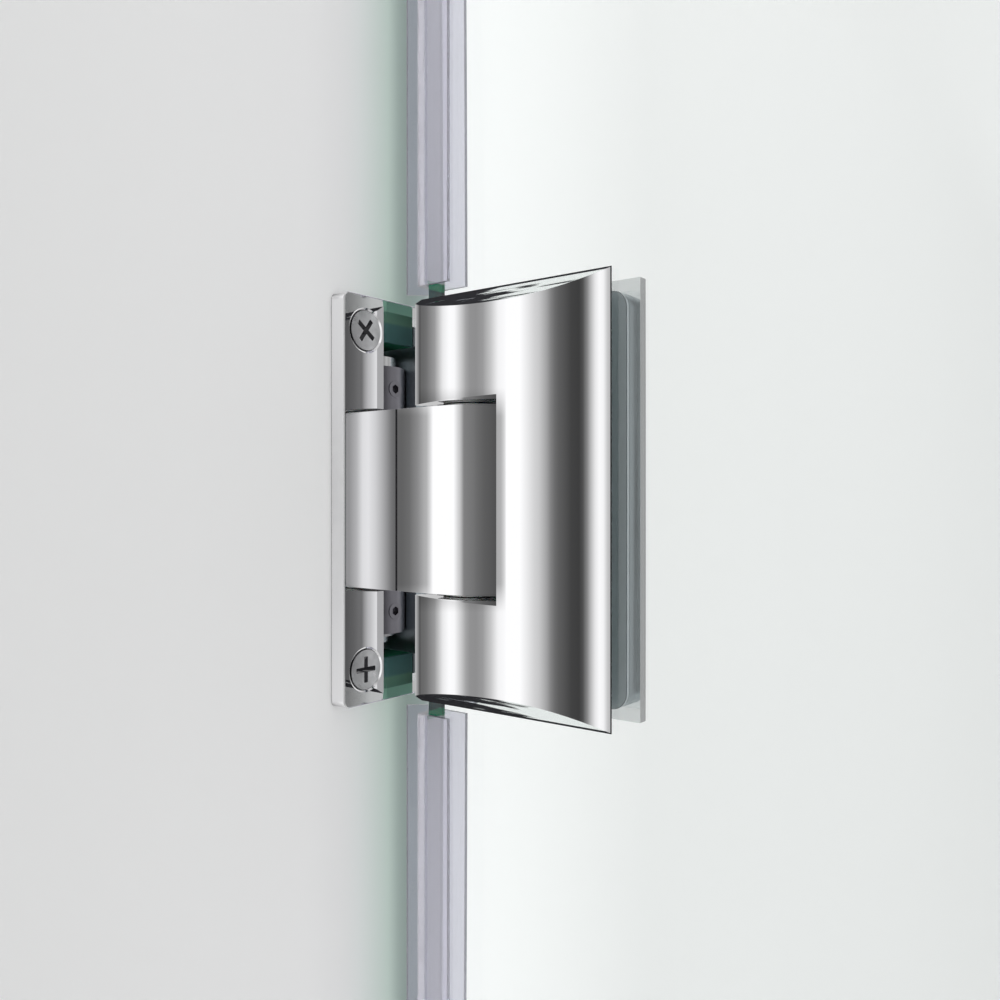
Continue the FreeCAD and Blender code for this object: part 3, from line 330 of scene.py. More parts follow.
@dataclass(frozen=True)
class GlassEdge(Finish):
    """The ground edge of the panel, green from the depth of glass behind it, with painted light and shade beside
    each hinge.
    """

    tone: Sequence[float] = (0.045, 0.31, 0.17)
    # Painted shade and light by distance from the hinge's centre: dark inside the hinge, a near-black band at the
    # cover's ends, lighter green bands between, pale behind the seals.
    light_and_shade_bands: Marks = (
        (0.0, (0.08, 0.16, 0.12)),
        (0.0340, (0.05, 0.12, 0.09)),
        (0.0350, (0.20, 0.42, 0.33)),
        (0.0358, (0.06, 0.15, 0.12)),
        (0.0368, (0.16, 0.38, 0.37)),
        (0.0412, (0.20, 0.44, 0.42)),
        (0.0418, (0.30, 0.60, 0.44)),
        (0.0440, (0.26, 0.54, 0.40)),
        (0.0448, (0.0, 0.075, 0.085)),
        (0.0474, (0.0, 0.085, 0.09)),
        (0.0478, (0.0, 0.33, 0.16)),
        (0.0493, (0.0, 0.33, 0.16)),
        (0.0496, (0.95, 0.96, 1.0)),
    )
    # Painted light: a lighter band that is seen only from outside the glass.
    outer_light_tone: Sequence[float] = (0.46, 0.85, 0.66)
    outer_band: Sequence[float] = (0.0440, 0.0480)
    seal_start: Sequence[float] = (0.0470, 0.0475)
    hinge_heights: Sequence[float] = (0.0, LOWER_HINGE * MM)
    hinge_side: float = 0.0115
    half_thickness: float = 0.005
    back_shade_share: float = 0.5
    blur: float = 0.0002
    grain: float = 600.0
    gloss: Sequence[float] = (0.12, 0.22)

    def shader(self, graph: NodeGraph) -> bpy.types.Node:
        """Writes a green with painted light and shade beside a hinge: darker on the wet half, lighter in a band seen
        from outside, and pale behind the hinge seals.
        """
        place = graph.place()
        reaches = [graph.calc("ABSOLUTE", graph.calc("SUBTRACT", place["Z"], z)) for z in self.hinge_heights]
        reach = graph.calc("MINIMUM", *reaches)
        # Painted shade: the wet half of the edge is darker, except past the seals' start.
        back = graph.spread(place["Y"], -self.half_thickness, self.half_thickness, 1.0, self.back_shade_share)
        even = graph.calc("MAXIMUM", back, graph.spread(reach, *self.seal_start))
        shaded = graph.mix(1.0, graph.ramp(reach, self.light_and_shade_bands), even, "MULTIPLY")
        low, high = self.outer_band
        outside = graph.calc("SUBTRACT", 1.0, graph.add("ShaderNodeNewGeometry").outputs["Backfacing"])
        banded = graph.calc(
            "MULTIPLY", graph.spread(reach, low, low + self.blur), graph.spread(reach, high, high - self.blur)
        )
        shaded = graph.mix(graph.calc("MULTIPLY", banded, outside), shaded, self.outer_light_tone)
        far = graph.spread(place["X"], self.hinge_side, self.hinge_side + self.blur)
        return graph.surface(
            Base_Color=graph.mix(far, shaded, self.tone), IOR=1.5, Specular_IOR_Level=0.05,
            Roughness=graph.between(graph.noise(self.grain), *self.gloss),
        )


@dataclass(frozen=True)
class DarkReflectionEnd(Finish):
    """The slanted ends of the lens-shaped cover: polished metal under long waves of painted dark reflection, with a
    dark back edge.
    """

    dark: Sequence[float] = (0.045, 0.045, 0.05)
    light: Sequence[float] = (0.84, 0.87, 0.86)
    back_edge: float = -0.0072
    blur: float = 0.0001
    dark_until: float = 0.022
    light_from: float = 0.050
    fade: float = 0.2
    waves: float = 420.0
    stretch: Sequence[float] = (0.2, 1.3, 1.0)
    painted_reflection: Sequence[float] = (0.42, 0.54)
    gloss: Sequence[float] = (0.05, 0.12)

    def shader(self, graph: NodeGraph) -> bpy.types.Node:
        """Writes a metal with long waves of painted dark reflection, a matt dark shader, that fade towards the tip.
        """
        place = graph.place()
        waves = graph.noise(self.waves, detail=1.0, stretch=self.stretch)
        fade = graph.spread(place["X"], self.dark_until, self.light_from, -self.fade, self.fade)
        painted_reflection = graph.spread(graph.calc("ADD", waves, fade), *self.painted_reflection)
        inner = graph.spread(place["Y"], self.back_edge + self.blur, self.back_edge)
        metal = graph.surface(
            Base_Color=full_tone(self.light), Metallic=1.0, Roughness=graph.between(waves, *self.gloss)
        )
        # The matt dark shader is painted dark reflection, laid over the metal in waves.
        matt = graph.add("ShaderNodeBsdfDiffuse", {"Color": full_tone(self.dark)})
        return graph.either(graph.calc("MULTIPLY", painted_reflection, inner), matt, metal)


@dataclass(frozen=True)
class StageWall(Finish):
    """The pale wall with the door's soft shadow and a lighter patch beyond it, both painted, which isn't seen from
    behind.
    """

    # Painted shadow about the door's plane, then painted light on the wet side that fades further along the wall.
    shadow_and_light_tones: Marks = (
        (-0.093, 0.660), (-0.060, 0.688), (-0.030, 0.700), (-0.020, (0.665, 0.668, 0.668)),
        (-0.015, (0.620, 0.650, 0.640)), (-0.006, (0.480, 0.570, 0.520)), (-0.001, (0.300, 0.370, 0.340)),
        (0.007, (0.32, 0.38, 0.37)), (0.014, (0.75, 0.78, 0.80)), (0.019, 0.96), (0.040, 0.94), (0.058, 0.893),
        (0.090, 0.815), (0.120, 0.760), (0.250, 0.720), (0.425, 0.686), (0.587, 0.658), (0.700, 0.645),
    )
    open_tone: float = 0.68
    shadow_top: Sequence[float] = (0.229, 0.309)
    paint_share: float = 0.95
    glow: float = 0.4

    def shader(self, graph: NodeGraph) -> bpy.types.Node:
        """Writes a matt wall whose tone changes along Y below the door's top edge: a painted shadow in a band about
        the door's plane and painted light on its wet side, which the glow for camera and transmission rays carries
        too.
        """
        place = graph.place()
        above = graph.spread(place["Z"], *self.shadow_top)
        tone = graph.mix(above, graph.ramp(place["Y"], self.shadow_and_light_tones), self.open_tone)
        rays = graph.add("ShaderNodeLightPath").outputs
        seen = graph.calc("MAXIMUM", rays["Is Camera Ray"], rays["Is Transmission Ray"])
        glow = graph.add("ShaderNodeEmission", {"Color": tone, "Strength": graph.calc("MULTIPLY", seen, self.glow)})
        paint = graph.add("ShaderNodeBsdfDiffuse", {"Color": graph.mix(1.0, tone, self.paint_share, "MULTIPLY")})
        lit = graph.add("ShaderNodeAddShader", {0: paint.outputs[0], 1: glow.outputs[0]})
        behind = graph.add("ShaderNodeNewGeometry").outputs["Backfacing"]
        return graph.either(behind, lit, graph.add("ShaderNodeBsdfTransparent"))


@dataclass(frozen=True)
class StageFloor(Finish):
    """The pale floor."""

    tone: Sequence[float] = (0.84, 0.84, 0.84)
    shade: float = 0.98
    patches: float = 2.0

    def shader(self, graph: NodeGraph) -> bpy.types.Node:
        """Writes a matt floor with a faint cloudiness."""
        tone = graph.clouded(self.tone, self.shade, self.patches)
        return graph.add("ShaderNodeBsdfDiffuse", {"Color": tone})


CHROME = Metal("polished_chrome", tone=(0.80, 0.80, 0.81), gloss=(0.015, 0.035), grain=60.0)
SATIN_RIM = Metal("satin_rim", tone=(0.83, 0.83, 0.84), gloss=(0.3, 0.36), grain=300.0)
SATIN_BOSS = Metal("satin_boss", tone=(0.26, 0.255, 0.28), shade=0.9, gloss=(0.3, 0.42), grain=400.0)
DARK_REFLECTION_END = DarkReflectionEnd("ground_end")
# A painted dark line that stands in for shade: the plate's back edge on the wall, the knuckle's root, the wall
# screws' rims and the cover's tip.
PAINTED_SHADE_EDGE = Metal("cut_edge", tone=(0.06, 0.06, 0.065), shade=0.8, gloss=(0.2, 0.3), grain=500.0)
SCREW_CHROME = Metal(
    "screw_chrome", tone=(0.95, 0.95, 0.96), shade=0.55, gloss=(0.26, 0.4), grain=500.0, patches=420.0
)
# Painted shade inside the screws' cross recesses.
CROSS_RECESS_SHADE = Metal("cross_recess", tone=(0.04, 0.04, 0.045), shade=0.6, gloss=(0.3, 0.45), grain=500.0)
ZINC_STEEL = Metal("zinc_steel", tone=(0.62, 0.63, 0.64), shade=0.85, gloss=(0.22, 0.36), grain=350.0, ripple=0.1)
CLAMP_STEEL = Metal(
    "satin_clamp_steel", tone=(0.47, 0.53, 0.56), shade=0.92, gloss=(0.3, 0.45), grain=500.0,
    stretch=(1.0, 1.0, 0.04), ripple=0.1,
)
PIN_STEEL = Metal(
    "ground_pin_steel", tone=(0.66, 0.66, 0.66), shade=0.92, gloss=(0.1, 0.2), grain=700.0, stretch=(0.1, 0.1, 1.0)
)
SPRING_STEEL = Metal("oiled_spring_steel", tone=(0.42, 0.42, 0.43), shade=0.8, gloss=(0.16, 0.3), grain=400.0)
NYLON = Moulding("white_nylon")
# Painted shade on the bevels where two clamp layers meet.
LAYER_SHADE_EDGE = Moulding("dark_layer_edge", tone=(0.10, 0.13, 0.15), gloss=(0.3, 0.4))
CLEAR_GASKET = Clear("clear_gasket", tone=(0.84, 0.93, 0.98), gloss=(0.12, 0.2), index=1.45, milk=0.6)
CLEAR_VINYL = Clear("clear_vinyl", tone=(0.92, 0.905, 0.985), gloss=(0.01, 0.05), milk=0.22)
CLEAR_GLASS = Clear("clear_glass", tone=(0.96, 0.985, 0.975), shade=0.998, gloss=(0.0, 0.004))
GLASS_EDGE = GlassEdge("green_glass_edge")

SLOT_FINISHES: dict[Slot, Finish] = {
    Slot.CHROME: CHROME,
    Slot.SCREW_CHROME: SCREW_CHROME,
    Slot.ZINC_STEEL: ZINC_STEEL,
    Slot.CLAMP_STEEL: CLAMP_STEEL,
    Slot.PIN_STEEL: PIN_STEEL,
    Slot.SPRING_STEEL: SPRING_STEEL,
    Slot.NYLON: NYLON,
    Slot.CLEAR_GASKET: CLEAR_GASKET,
    Slot.CLEAR_VINYL: CLEAR_VINYL,
    Slot.CLEAR_GLASS: CLEAR_GLASS,
}


# ---------------------------------------------------------------------------------------------
# Outlines and shapes, in millimetres
# ---------------------------------------------------------------------------------------------
def arc(start: Point2, end: Point2, radius: float, steps: int) -> list[Point2]:
    """Returns the points of the shorter arc that turns clockwise from start to end.

    Args:
        start: the first point.
        end: the last point.
        radius: the arc's radius; a negative one turns anticlockwise.
        steps: how many equal steps it has.

    Returns:
        The points, both ends included.
    """
    first, last = Vector(start), Vector(end)
    chord = last - first
    side = Vector((chord.y, -chord.x)).normalized() * math.copysign(1.0, radius)
    centre = (first + last) / 2 + side * math.sqrt(radius * radius - (chord.length / 2) ** 2)
    begin = math.atan2(*(first - centre).yx)
    finish = math.atan2(*(last - centre).yx)
    sweep = (finish - begin + math.pi) % math.tau - math.pi
    reach = abs(radius)
    angles = [begin + sweep * step / steps for step in range(steps + 1)]
    return [(centre.x + reach * math.cos(angle), centre.y + reach * math.sin(angle)) for angle in angles]


def rounded(points: Sequence[Point2], radii: Sequence[float], steps: int = 10) -> list[Point2]:
    """Rounds the corners of a closed outline.

    Args:
        points: the corners in order.
        radii: each corner's radius; zero keeps it sharp.
        steps: how many steps a rounded corner has.

    Returns:
        The outline's points.
    """
    shaped: list[Point2] = []
    for index, (corner, radius) in enumerate(zip(points, radii)):
        here = Vector(corner)
        if radius <= 0:
            shaped.append((here.x, here.y))
            continue
        before = (Vector(points[index - 1]) - here).normalized()
        after = (Vector(points[(index + 1) % len(points)]) - here).normalized()
        half = before.angle(after) / 2
        centre = here + (before + after).normalized() * (radius / math.sin(half))
        first = here + before * (radius / math.tan(half)) - centre
        last = here + after * (radius / math.tan(half)) - centre
        sweep = first.angle_signed(last)
        for step in range(steps + 1):
            place = centre + Matrix.Rotation(-sweep * step / steps, 2) @ first
            shaped.append((place.x, place.y))
    return shaped


def rectangle(low: Point2, high: Point2) -> list[Point2]:
    """Returns the corners of a rectangle."""
    return [(low[0], low[1]), (high[0], low[1]), (high[0], high[1]), (low[0], high[1])]


def circle(radius: float, steps: int = 64, centre: Point2 = (0.0, 0.0)) -> list[Point2]:
    """Returns the points of a circle."""
    angles = [math.tau * step / steps for step in range(steps)]
    return [(centre[0] + radius * math.cos(angle), centre[1] + radius * math.sin(angle)) for angle in angles]


class Blank:
    """A closed shape in the making, in millimetres."""

    BROAD = 5.0
    WELD = 0.002
    FLAT_ANGLE = math.radians(1.0)
    LEAST_TURN = 0.002

    def __init__(self, mesh: bpy.types.Mesh) -> None:
        """Takes over a mesh."""
        self.mesh = mesh

    @classmethod
    def from_bmesh(cls, shape: bmesh.types.BMesh) -> "Blank":
        """Returns the blank of a bmesh, with its faces turned outwards."""
        bmesh.ops.recalc_face_normals(shape, faces=shape.faces)
        mesh = bpy.data.meshes.new("blank")
        shape.to_mesh(mesh)
        shape.free()
        return cls(mesh)

    @classmethod
    def prism(cls, outline: Sequence[Point2], low: Height, high: Height, axis: Axis) -> "Blank":
        """Draws a flat outline out along an axis.

        Args:
            outline: the outline's points; (y, z) along X, (x, z) along Y and (x, y) along Z.
            low: where it starts, or a function of the outline's point that says where.
            high: where it ends, in the same way.
            axis: the axis that it runs along.

        Returns:
            The closed shape.
        """
        shape = bmesh.new()
        turn = list(Axis).index(axis)
        ends = []
        for height in (low, high):
            ring = []
            for point in outline:
                place = list(point)
                place.insert(turn, height(*point) if callable(height) else height)
                ring.append(shape.verts.new(place))
            shape.faces.new(ring)
            ends.append(ring)
        for index in range(len(outline)):
            after = (index + 1) % len(outline)
            shape.faces.new((ends[0][index], ends[0][after], ends[1][after], ends[1][index]))
        return cls.from_bmesh(shape)

    @classmethod
    def turned(cls, profile: Sequence[Point2], steps: int = 64) -> "Blank":
        """Turns a profile of (radius, height) points about the Z axis.

        Args:
            profile: the points from one end to the other; the ends may lie on the axis.
            steps: how many steps one turn has.

        Returns:
            The closed shape.
        """
        shape = bmesh.new()
        rings: list[list[bmesh.types.BMVert]] = []
        for radius, height in profile:
            spots = circle(radius, steps) if radius > 1e-6 else [(0.0, 0.0)]
            rings.append([shape.verts.new((x, y, height)) for x, y in spots])
        for lower, upper in zip(rings, rings[1:]):
            for index in range(steps if len(lower) + len(upper) > 2 else 0):
                after = (index + 1) % steps
                low = (lower[index], lower[after]) if len(lower) > 1 else (lower[0],)
                high = (upper[after], upper[index]) if len(upper) > 1 else (upper[0],)
                shape.faces.new((*low, *high))
        for ring in (rings[0], rings[-1]):
            if len(ring) > 1:
                shape.faces.new(ring)
        return cls.from_bmesh(shape)

    @classmethod
    def of_node(cls, node: str) -> "Blank":
        """Copies a CAD node, joins its loose triangles and clears the edges inside its flat faces."""
        shape = bmesh.new()
        shape.from_mesh(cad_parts[node].data)
        bmesh.ops.scale(shape, vec=(1 / MM,) * 3, verts=shape.verts)
        bmesh.ops.remove_doubles(shape, verts=shape.verts, dist=cls.WELD)
        bmesh.ops.dissolve_limit(
            shape, angle_limit=cls.FLAT_ANGLE, verts=shape.verts, edges=shape.edges, delimit={"NORMAL"}
        )
        return cls.from_bmesh(shape)

    def copy(self) -> "Blank":
        """Returns a copy."""
        return Blank(self.mesh.copy())

    def moved(self, x: float = 0.0, y: float = 0.0, z: float = 0.0) -> "Blank":
        """Moves it."""
        self.mesh.transform(Matrix.Translation((x, y, z)))
        return self

    def aimed(self, direction: Sequence[float]) -> "Blank":
        """Turns its Z axis to a direction."""
        self.mesh.transform(Vector(direction).to_track_quat("Z", "Y").to_matrix().to_4x4())
        return self

    def spun(self, degrees: float, axis: Axis) -> "Blank":
        """Turns it about an axis through the origin."""
        self.mesh.transform(Matrix.Rotation(math.radians(degrees), 4, axis.value))
        return self

    def modified(self, modify: Callable[[bpy.types.Object], None]) -> "Blank":
        """Replaces its mesh by what modifiers make of it.

        Args:
            modify: adds the modifiers to the object that holds the mesh.

        Returns:
            The same blank.
        """
        holder = bpy.data.objects.new("holder", self.mesh)
        bpy.context.scene.collection.objects.link(holder)
        modify(holder)
        graph = bpy.context.evaluated_depsgraph_get()
        self.mesh = bpy.data.meshes.new_from_object(
            holder.evaluated_get(graph), preserve_all_data_layers=True, depsgraph=graph
        )
        bpy.data.objects.remove(holder)
        return self

    def carved(self, others: Iterable["Blank"], operation: str) -> "Blank":
        """Takes other shapes from it or joins them to it.

        Args:
            others: the other shapes.
            operation: DIFFERENCE or UNION.

        Returns:
            The same blank.
        """
        for other in others:
            tool = bpy.data.objects.new("tool", other.mesh)
            bpy.context.scene.collection.objects.link(tool)

            def combine(holder: bpy.types.Object, tool: bpy.types.Object = tool) -> None:
                """Adds the boolean."""
                step = holder.modifiers.new("carve", "BOOLEAN")
                step.operation = operation
                step.solver = "EXACT"
                step.object = tool

            self.modified(combine)
            bpy.data.objects.remove(tool)
        return self

    def cut(self, *others: "Blank") -> "Blank":
        """Cuts other shapes from it."""
        return self.carved(others, "DIFFERENCE")

    def joined(self, *others: "Blank") -> "Blank":
        """Joins other shapes to it."""
        return self.carved(others, "UNION")

    def softened(self, width: float, segments: int = 2, angle: float = 40.0) -> "Blank":
        """Rounds its sharp edges.

        Args:
            width: how far the rounding reaches from an edge.
            segments: how many steps it has.
            angle: the least angle, in degrees, of an edge that is rounded.

        Returns:
            The same blank.
        """
        for face in self.mesh.polygons:
            face.use_smooth = True
        self.mesh.set_sharp_from_angle(angle=math.radians(angle))

        def bevel(holder: bpy.types.Object) -> None:
            """Adds the bevel."""
            step = holder.modifiers.new("soften", "BEVEL")
            step.harden_normals = True
            step.width = width
            step.segments = segments
            step.limit_method = "ANGLE"
            step.angle_limit = math.radians(angle)
            step.miter_outer = "MITER_ARC"

        return self.modified(bevel)

    def smoothed(self, angle: float = 30.0) -> "Blank":
        """Shades its curved faces smooth, and leaves its flat faces and sharp edges alone.

        Args:
            angle: the least angle, in degrees, of an edge that stays sharp.

        Returns:
            The same blank.
        """
        shape = bmesh.new()
        shape.from_mesh(self.mesh)
        shape.normal_update()
        limit = math.radians(angle)
        areas = [face.calc_area() for face in shape.faces]

        def turn(face: bmesh.types.BMFace, other: bmesh.types.BMFace) -> float:
            """Returns the angle between two faces."""
            return face.normal.angle(other.normal, math.pi)

        broad: set[int] = set()
        for face in shape.faces:
            beside = {other for edge in face.edges for other in edge.link_faces if other is not face}
            bent = [other for other in beside if self.LEAST_TURN < turn(face, other) < limit]
            if all(areas[face.index] > self.BROAD * areas[other.index] for other in bent):
                broad.add(face.index)
        normals = []
        for face in shape.faces:
            face.smooth = True
            for corner in face.loops:
                near = [other for other in corner.vert.link_faces if turn(face, other) < limit]
                flat = [other for other in near if other.index in broad]
                if face.index in broad:
                    normals.append(face.normal.copy())
                elif flat:
                    normals.append(max(flat, key=lambda other: areas[other.index]).normal.copy())
                else:
                    blend = sum((other.normal for other in near), Vector())
                    normals.append(blend.normalized() if blend.length else face.normal.copy())
        shape.to_mesh(self.mesh)
        shape.free()
        self.mesh.normals_split_custom_set(normals)
        return self

    def parted(self, part_of: Callable[[Face], int]) -> "Blank":
        """Numbers its faces by the finish that each takes."""
        for face in self.mesh.polygons:
            face.material_index = part_of(face)
        return self

    def placed(self, node: str, suffix: str, body: Body, slot: Slot, *finishes: Finish) -> bpy.types.Object:
        """Makes the piece that stands for a CAD node from this shape.

        Args:
            node: the CAD node, whose name starts the piece's name.
            suffix: the rest of the piece's name.
            body: the body that it rides on.
            slot: the record's material slot.
            *finishes: its finishes, in the order of its faces' material numbers.

        Returns:
            The piece.
        """
        name = node + suffix
        piece = bpy.data.objects.new(name, self.mesh)
        bpy.context.scene.collection.objects.link(piece)
        self.mesh.name = name
        self.mesh.transform(Matrix.Scale(MM, 4))
        numbers = [face.material_index for face in self.mesh.polygons]
        self.mesh.materials.clear()
        for finish in finishes or (SLOT_FINISHES[slot],):
            self.mesh.materials.append(finish.material())
        self.mesh.polygons.foreach_set("material_index", numbers if finishes else [0] * len(numbers))
        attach(piece, body.value)
        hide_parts(node)
        size = ", ".join("%.1f" % (side / MM) for side in piece.dimensions)
        LOG.info("%s: %d faces, %s mm, on %s", name, len(self.mesh.polygons), size, body.value)
        return piece


def rod(radius: float, low: float, high: float, axis: Axis, centre: Point2 = (0.0, 0.0), steps: int = 64) -> Blank:
    """Returns a round rod along an axis."""
    return Blank.prism(circle(radius, steps, centre), low, high, axis)


def bar(low: Sequence[float], high: Sequence[float]) -> Blank:
    """Returns a rectangular block between two corners."""
    return Blank.prism(rectangle((low[0], low[1]), (high[0], high[1])), low[2], high[2], Axis.Z)


def place_copy(node: str, suffix: str, body: Body, slot: Slot, *finishes: Finish) -> None:
    """Places a smoothly shaded copy of a CAD node."""
    Blank.of_node(node).smoothed().placed(node, suffix, body, slot, *finishes)


# ---------------------------------------------------------------------------------------------
# Geometry node trees
# ---------------------------------------------------------------------------------------------
class Recipe:
    """A geometry node tree with named inputs, run on one base mesh."""

    def __init__(self, name: str) -> None:
        """Starts a tree with a geometry input and a geometry output."""
        self.tree = bpy.data.node_groups.new(name, "GeometryNodeTree")
        self.graph = NodeGraph(self.tree)
        for way in ("INPUT", "OUTPUT"):
            self.tree.interface.new_socket("Geometry", in_out=way, socket_type="NodeSocketGeometry")
        self.entry = self.graph.add("NodeGroupInput")

    @property
    def base(self) -> Socket:
        """The base mesh."""
        return self.entry.outputs["Geometry"]

    def size(self, name: str) -> Socket:
        """Adds a named input and returns the socket that gives its value."""
        self.tree.interface.new_socket(name, in_out="INPUT", socket_type="NodeSocketFloat")
        return self.entry.outputs[name]

    def joined(self, *parts: Socket) -> Socket:
        """Joins geometry."""
        whole = self.graph.add("GeometryNodeJoinGeometry")
        for part in parts:
            self.graph.link(part, whole.inputs["Geometry"])
        return whole.outputs["Geometry"]

    def close(self, geometry: Socket, finish: Finish) -> None:
        """Ends the tree with real geometry in one finish."""
        real = self.graph.add("GeometryNodeRealizeInstances", {"Geometry": geometry}).outputs["Geometry"]
        dressed = self.graph.add("GeometryNodeSetMaterial", {"Geometry": real, "Material": finish.material()})
        self.graph.add("NodeGroupOutput", {"Geometry": dressed.outputs["Geometry"]})

    def run(self, base: Blank, **sizes: float) -> Blank:
        """Runs the tree on a base mesh.

        Args:
            base: the base mesh.
            **sizes: a value for each named input, with underscores for its spaces.

        Returns:
            The plain mesh that it makes.
        """
        sockets = {
            item.name.replace(" ", "_"): item.identifier
            for item in self.tree.interface.items_tree
            if item.item_type == "SOCKET" and item.in_out == "INPUT"
        }

        def cook(holder: bpy.types.Object) -> None:
            """Adds the tree and sets its inputs."""
            step = holder.modifiers.new("recipe", "NODES")
            step.node_group = self.tree
            for name, value in sizes.items():
                step[sockets[name]] = value

        return base.modified(cook)


def helix_recipe(name: str, finish: Finish, sides: int) -> Recipe:
    """Makes a tree that winds a wire or a thread round the Z axis and adds it to the base.

    Args:
        name: the tree's name.
        finish: the finish of the whole.
        sides: how many sides the wire has.

    Returns:
        The tree, with inputs for turns, coil radius, end radius, length, wire radius and start.
    """
    recipe = Recipe(name)
    graph = recipe.graph
    feeds = {
        "Resolution": 28, "Rotations": recipe.size("Turns"), "Start Radius": recipe.size("Coil Radius"),
        "End Radius": recipe.size("End Radius"), "Height": recipe.size("Length"),
    }
    spiral = graph.add("GeometryNodeCurveSpiral", feeds).outputs["Curve"]
    feeds = {"Resolution": sides, "Radius": recipe.size("Wire Radius")}
    wire = graph.add("GeometryNodeCurvePrimitiveCircle", feeds).outputs["Curve"]
    feeds = {"Curve": spiral, "Profile Curve": wire, "Fill Caps": True}
    wound = graph.add("GeometryNodeCurveToMesh", feeds).outputs["Mesh"]
    start = graph.add("ShaderNodeCombineXYZ", {"Z": recipe.size("Start")}).outputs["Vector"]
    raised = graph.add("GeometryNodeTransform", {"Geometry": wound, "Translation": start}).outputs["Geometry"]
    recipe.close(recipe.joined(recipe.base, raised), finish)
    return recipe


def fastener_grid_recipe(name: str, finish: Finish) -> Recipe:
    """Makes a tree that sets the base fastener at the corners of an upright rectangle.

    Args:
        name: the tree's name.
        finish: the fasteners' finish.

    Returns:
        The tree, with inputs for half width, half height, turn and turn step in degrees.
    """
    recipe = Recipe(name)
    graph = recipe.graph
    width = graph.calc("MULTIPLY", recipe.size("Half Width"), 2.0)
    height = graph.calc("MULTIPLY", recipe.size("Half Height"), 2.0)
    feeds = {"Size X": height, "Size Y": width, "Vertices X": 2, "Vertices Y": 2}
    grid = graph.add("GeometryNodeMeshGrid", feeds).outputs["Mesh"]
    feeds = {"Geometry": grid, "Rotation": (0.0, -math.pi / 2, 0.0)}
    upright = graph.add("GeometryNodeTransform", feeds).outputs["Geometry"]
    number = graph.add("GeometryNodeInputIndex").outputs[0]
    degrees = graph.calc("MULTIPLY_ADD", number, recipe.size("Turn Step"), recipe.size("Turn"))
    turn = graph.add("ShaderNodeCombineXYZ", {"X": graph.calc("RADIANS", degrees)}).outputs["Vector"]
    feeds = {"Points": upright, "Instance": recipe.base, "Rotation": turn}
    recipe.close(graph.add("GeometryNodeInstanceOnPoints", feeds).outputs["Instances"], finish)
    return recipe


def strip_recipe(name: str, finish: Finish) -> Recipe:
    """Makes a tree that draws the base outline out along Z into a closed strip.

    Args:
        name: the tree's name.
        finish: the strip's finish.

    Returns:
        The tree, with an input for the length.
    """
    recipe = Recipe(name)
    graph = recipe.graph
    edge = graph.add("GeometryNodeMeshToCurve", {"Mesh": recipe.base}).outputs["Curve"]
    face = graph.add("GeometryNodeFillCurve", {"Curve": edge}, mode="NGONS").outputs["Mesh"]
    feeds = {"Mesh": face, "Offset Scale": recipe.size("Length"), "Individual": False}
    drawn = graph.add("GeometryNodeExtrudeMesh", feeds).outputs["Mesh"]
    start = graph.add("GeometryNodeFlipFaces", {"Mesh": face}).outputs["Mesh"]
    feeds = {"Geometry": recipe.joined(drawn, start), "Distance": 0.001}
    recipe.close(graph.add("GeometryNodeMergeByDistance", feeds).outputs["Geometry"], finish)
    return recipe


def loop_of(outline: Sequence[Point2]) -> Blank:
    """Returns a closed loop of edges for a strip's outline."""
    mesh = bpy.data.meshes.new("outline")
    count = len(outline)
    mesh.from_pydata([(x, y, 0.0) for x, y in outline], [(i, (i + 1) % count) for i in range(count)], [])
    return Blank(mesh)


# ---------------------------------------------------------------------------------------------
# The hinge
# ---------------------------------------------------------------------------------------------
@dataclass
class HingeSizes:
    """The sizes that a hinge's pieces share, in millimetres."""

    half_height: float = 45.0
    plate_thickness: float = 4.0
    plate_half_width: float = 24.0
    plate_corner: float = 1.7
    screw_half_width: float = 17.4
    screw_half_height: float = 37.1
    screw_head: float = 4.65
    screw_radius: float = 2.4
    screw_clearance: float = 0.15
    pivot: float = 20.0
    pin_radius: float = 4.0
    knuckle_half_height: float = 20.6
    notch_half: float = 21.1
    notch_edge: float = 37.8
    near_edge: float = 10.0
    tip: float = 59.4
    outer_face: float = -6.0
    boss_top: float = 31.8


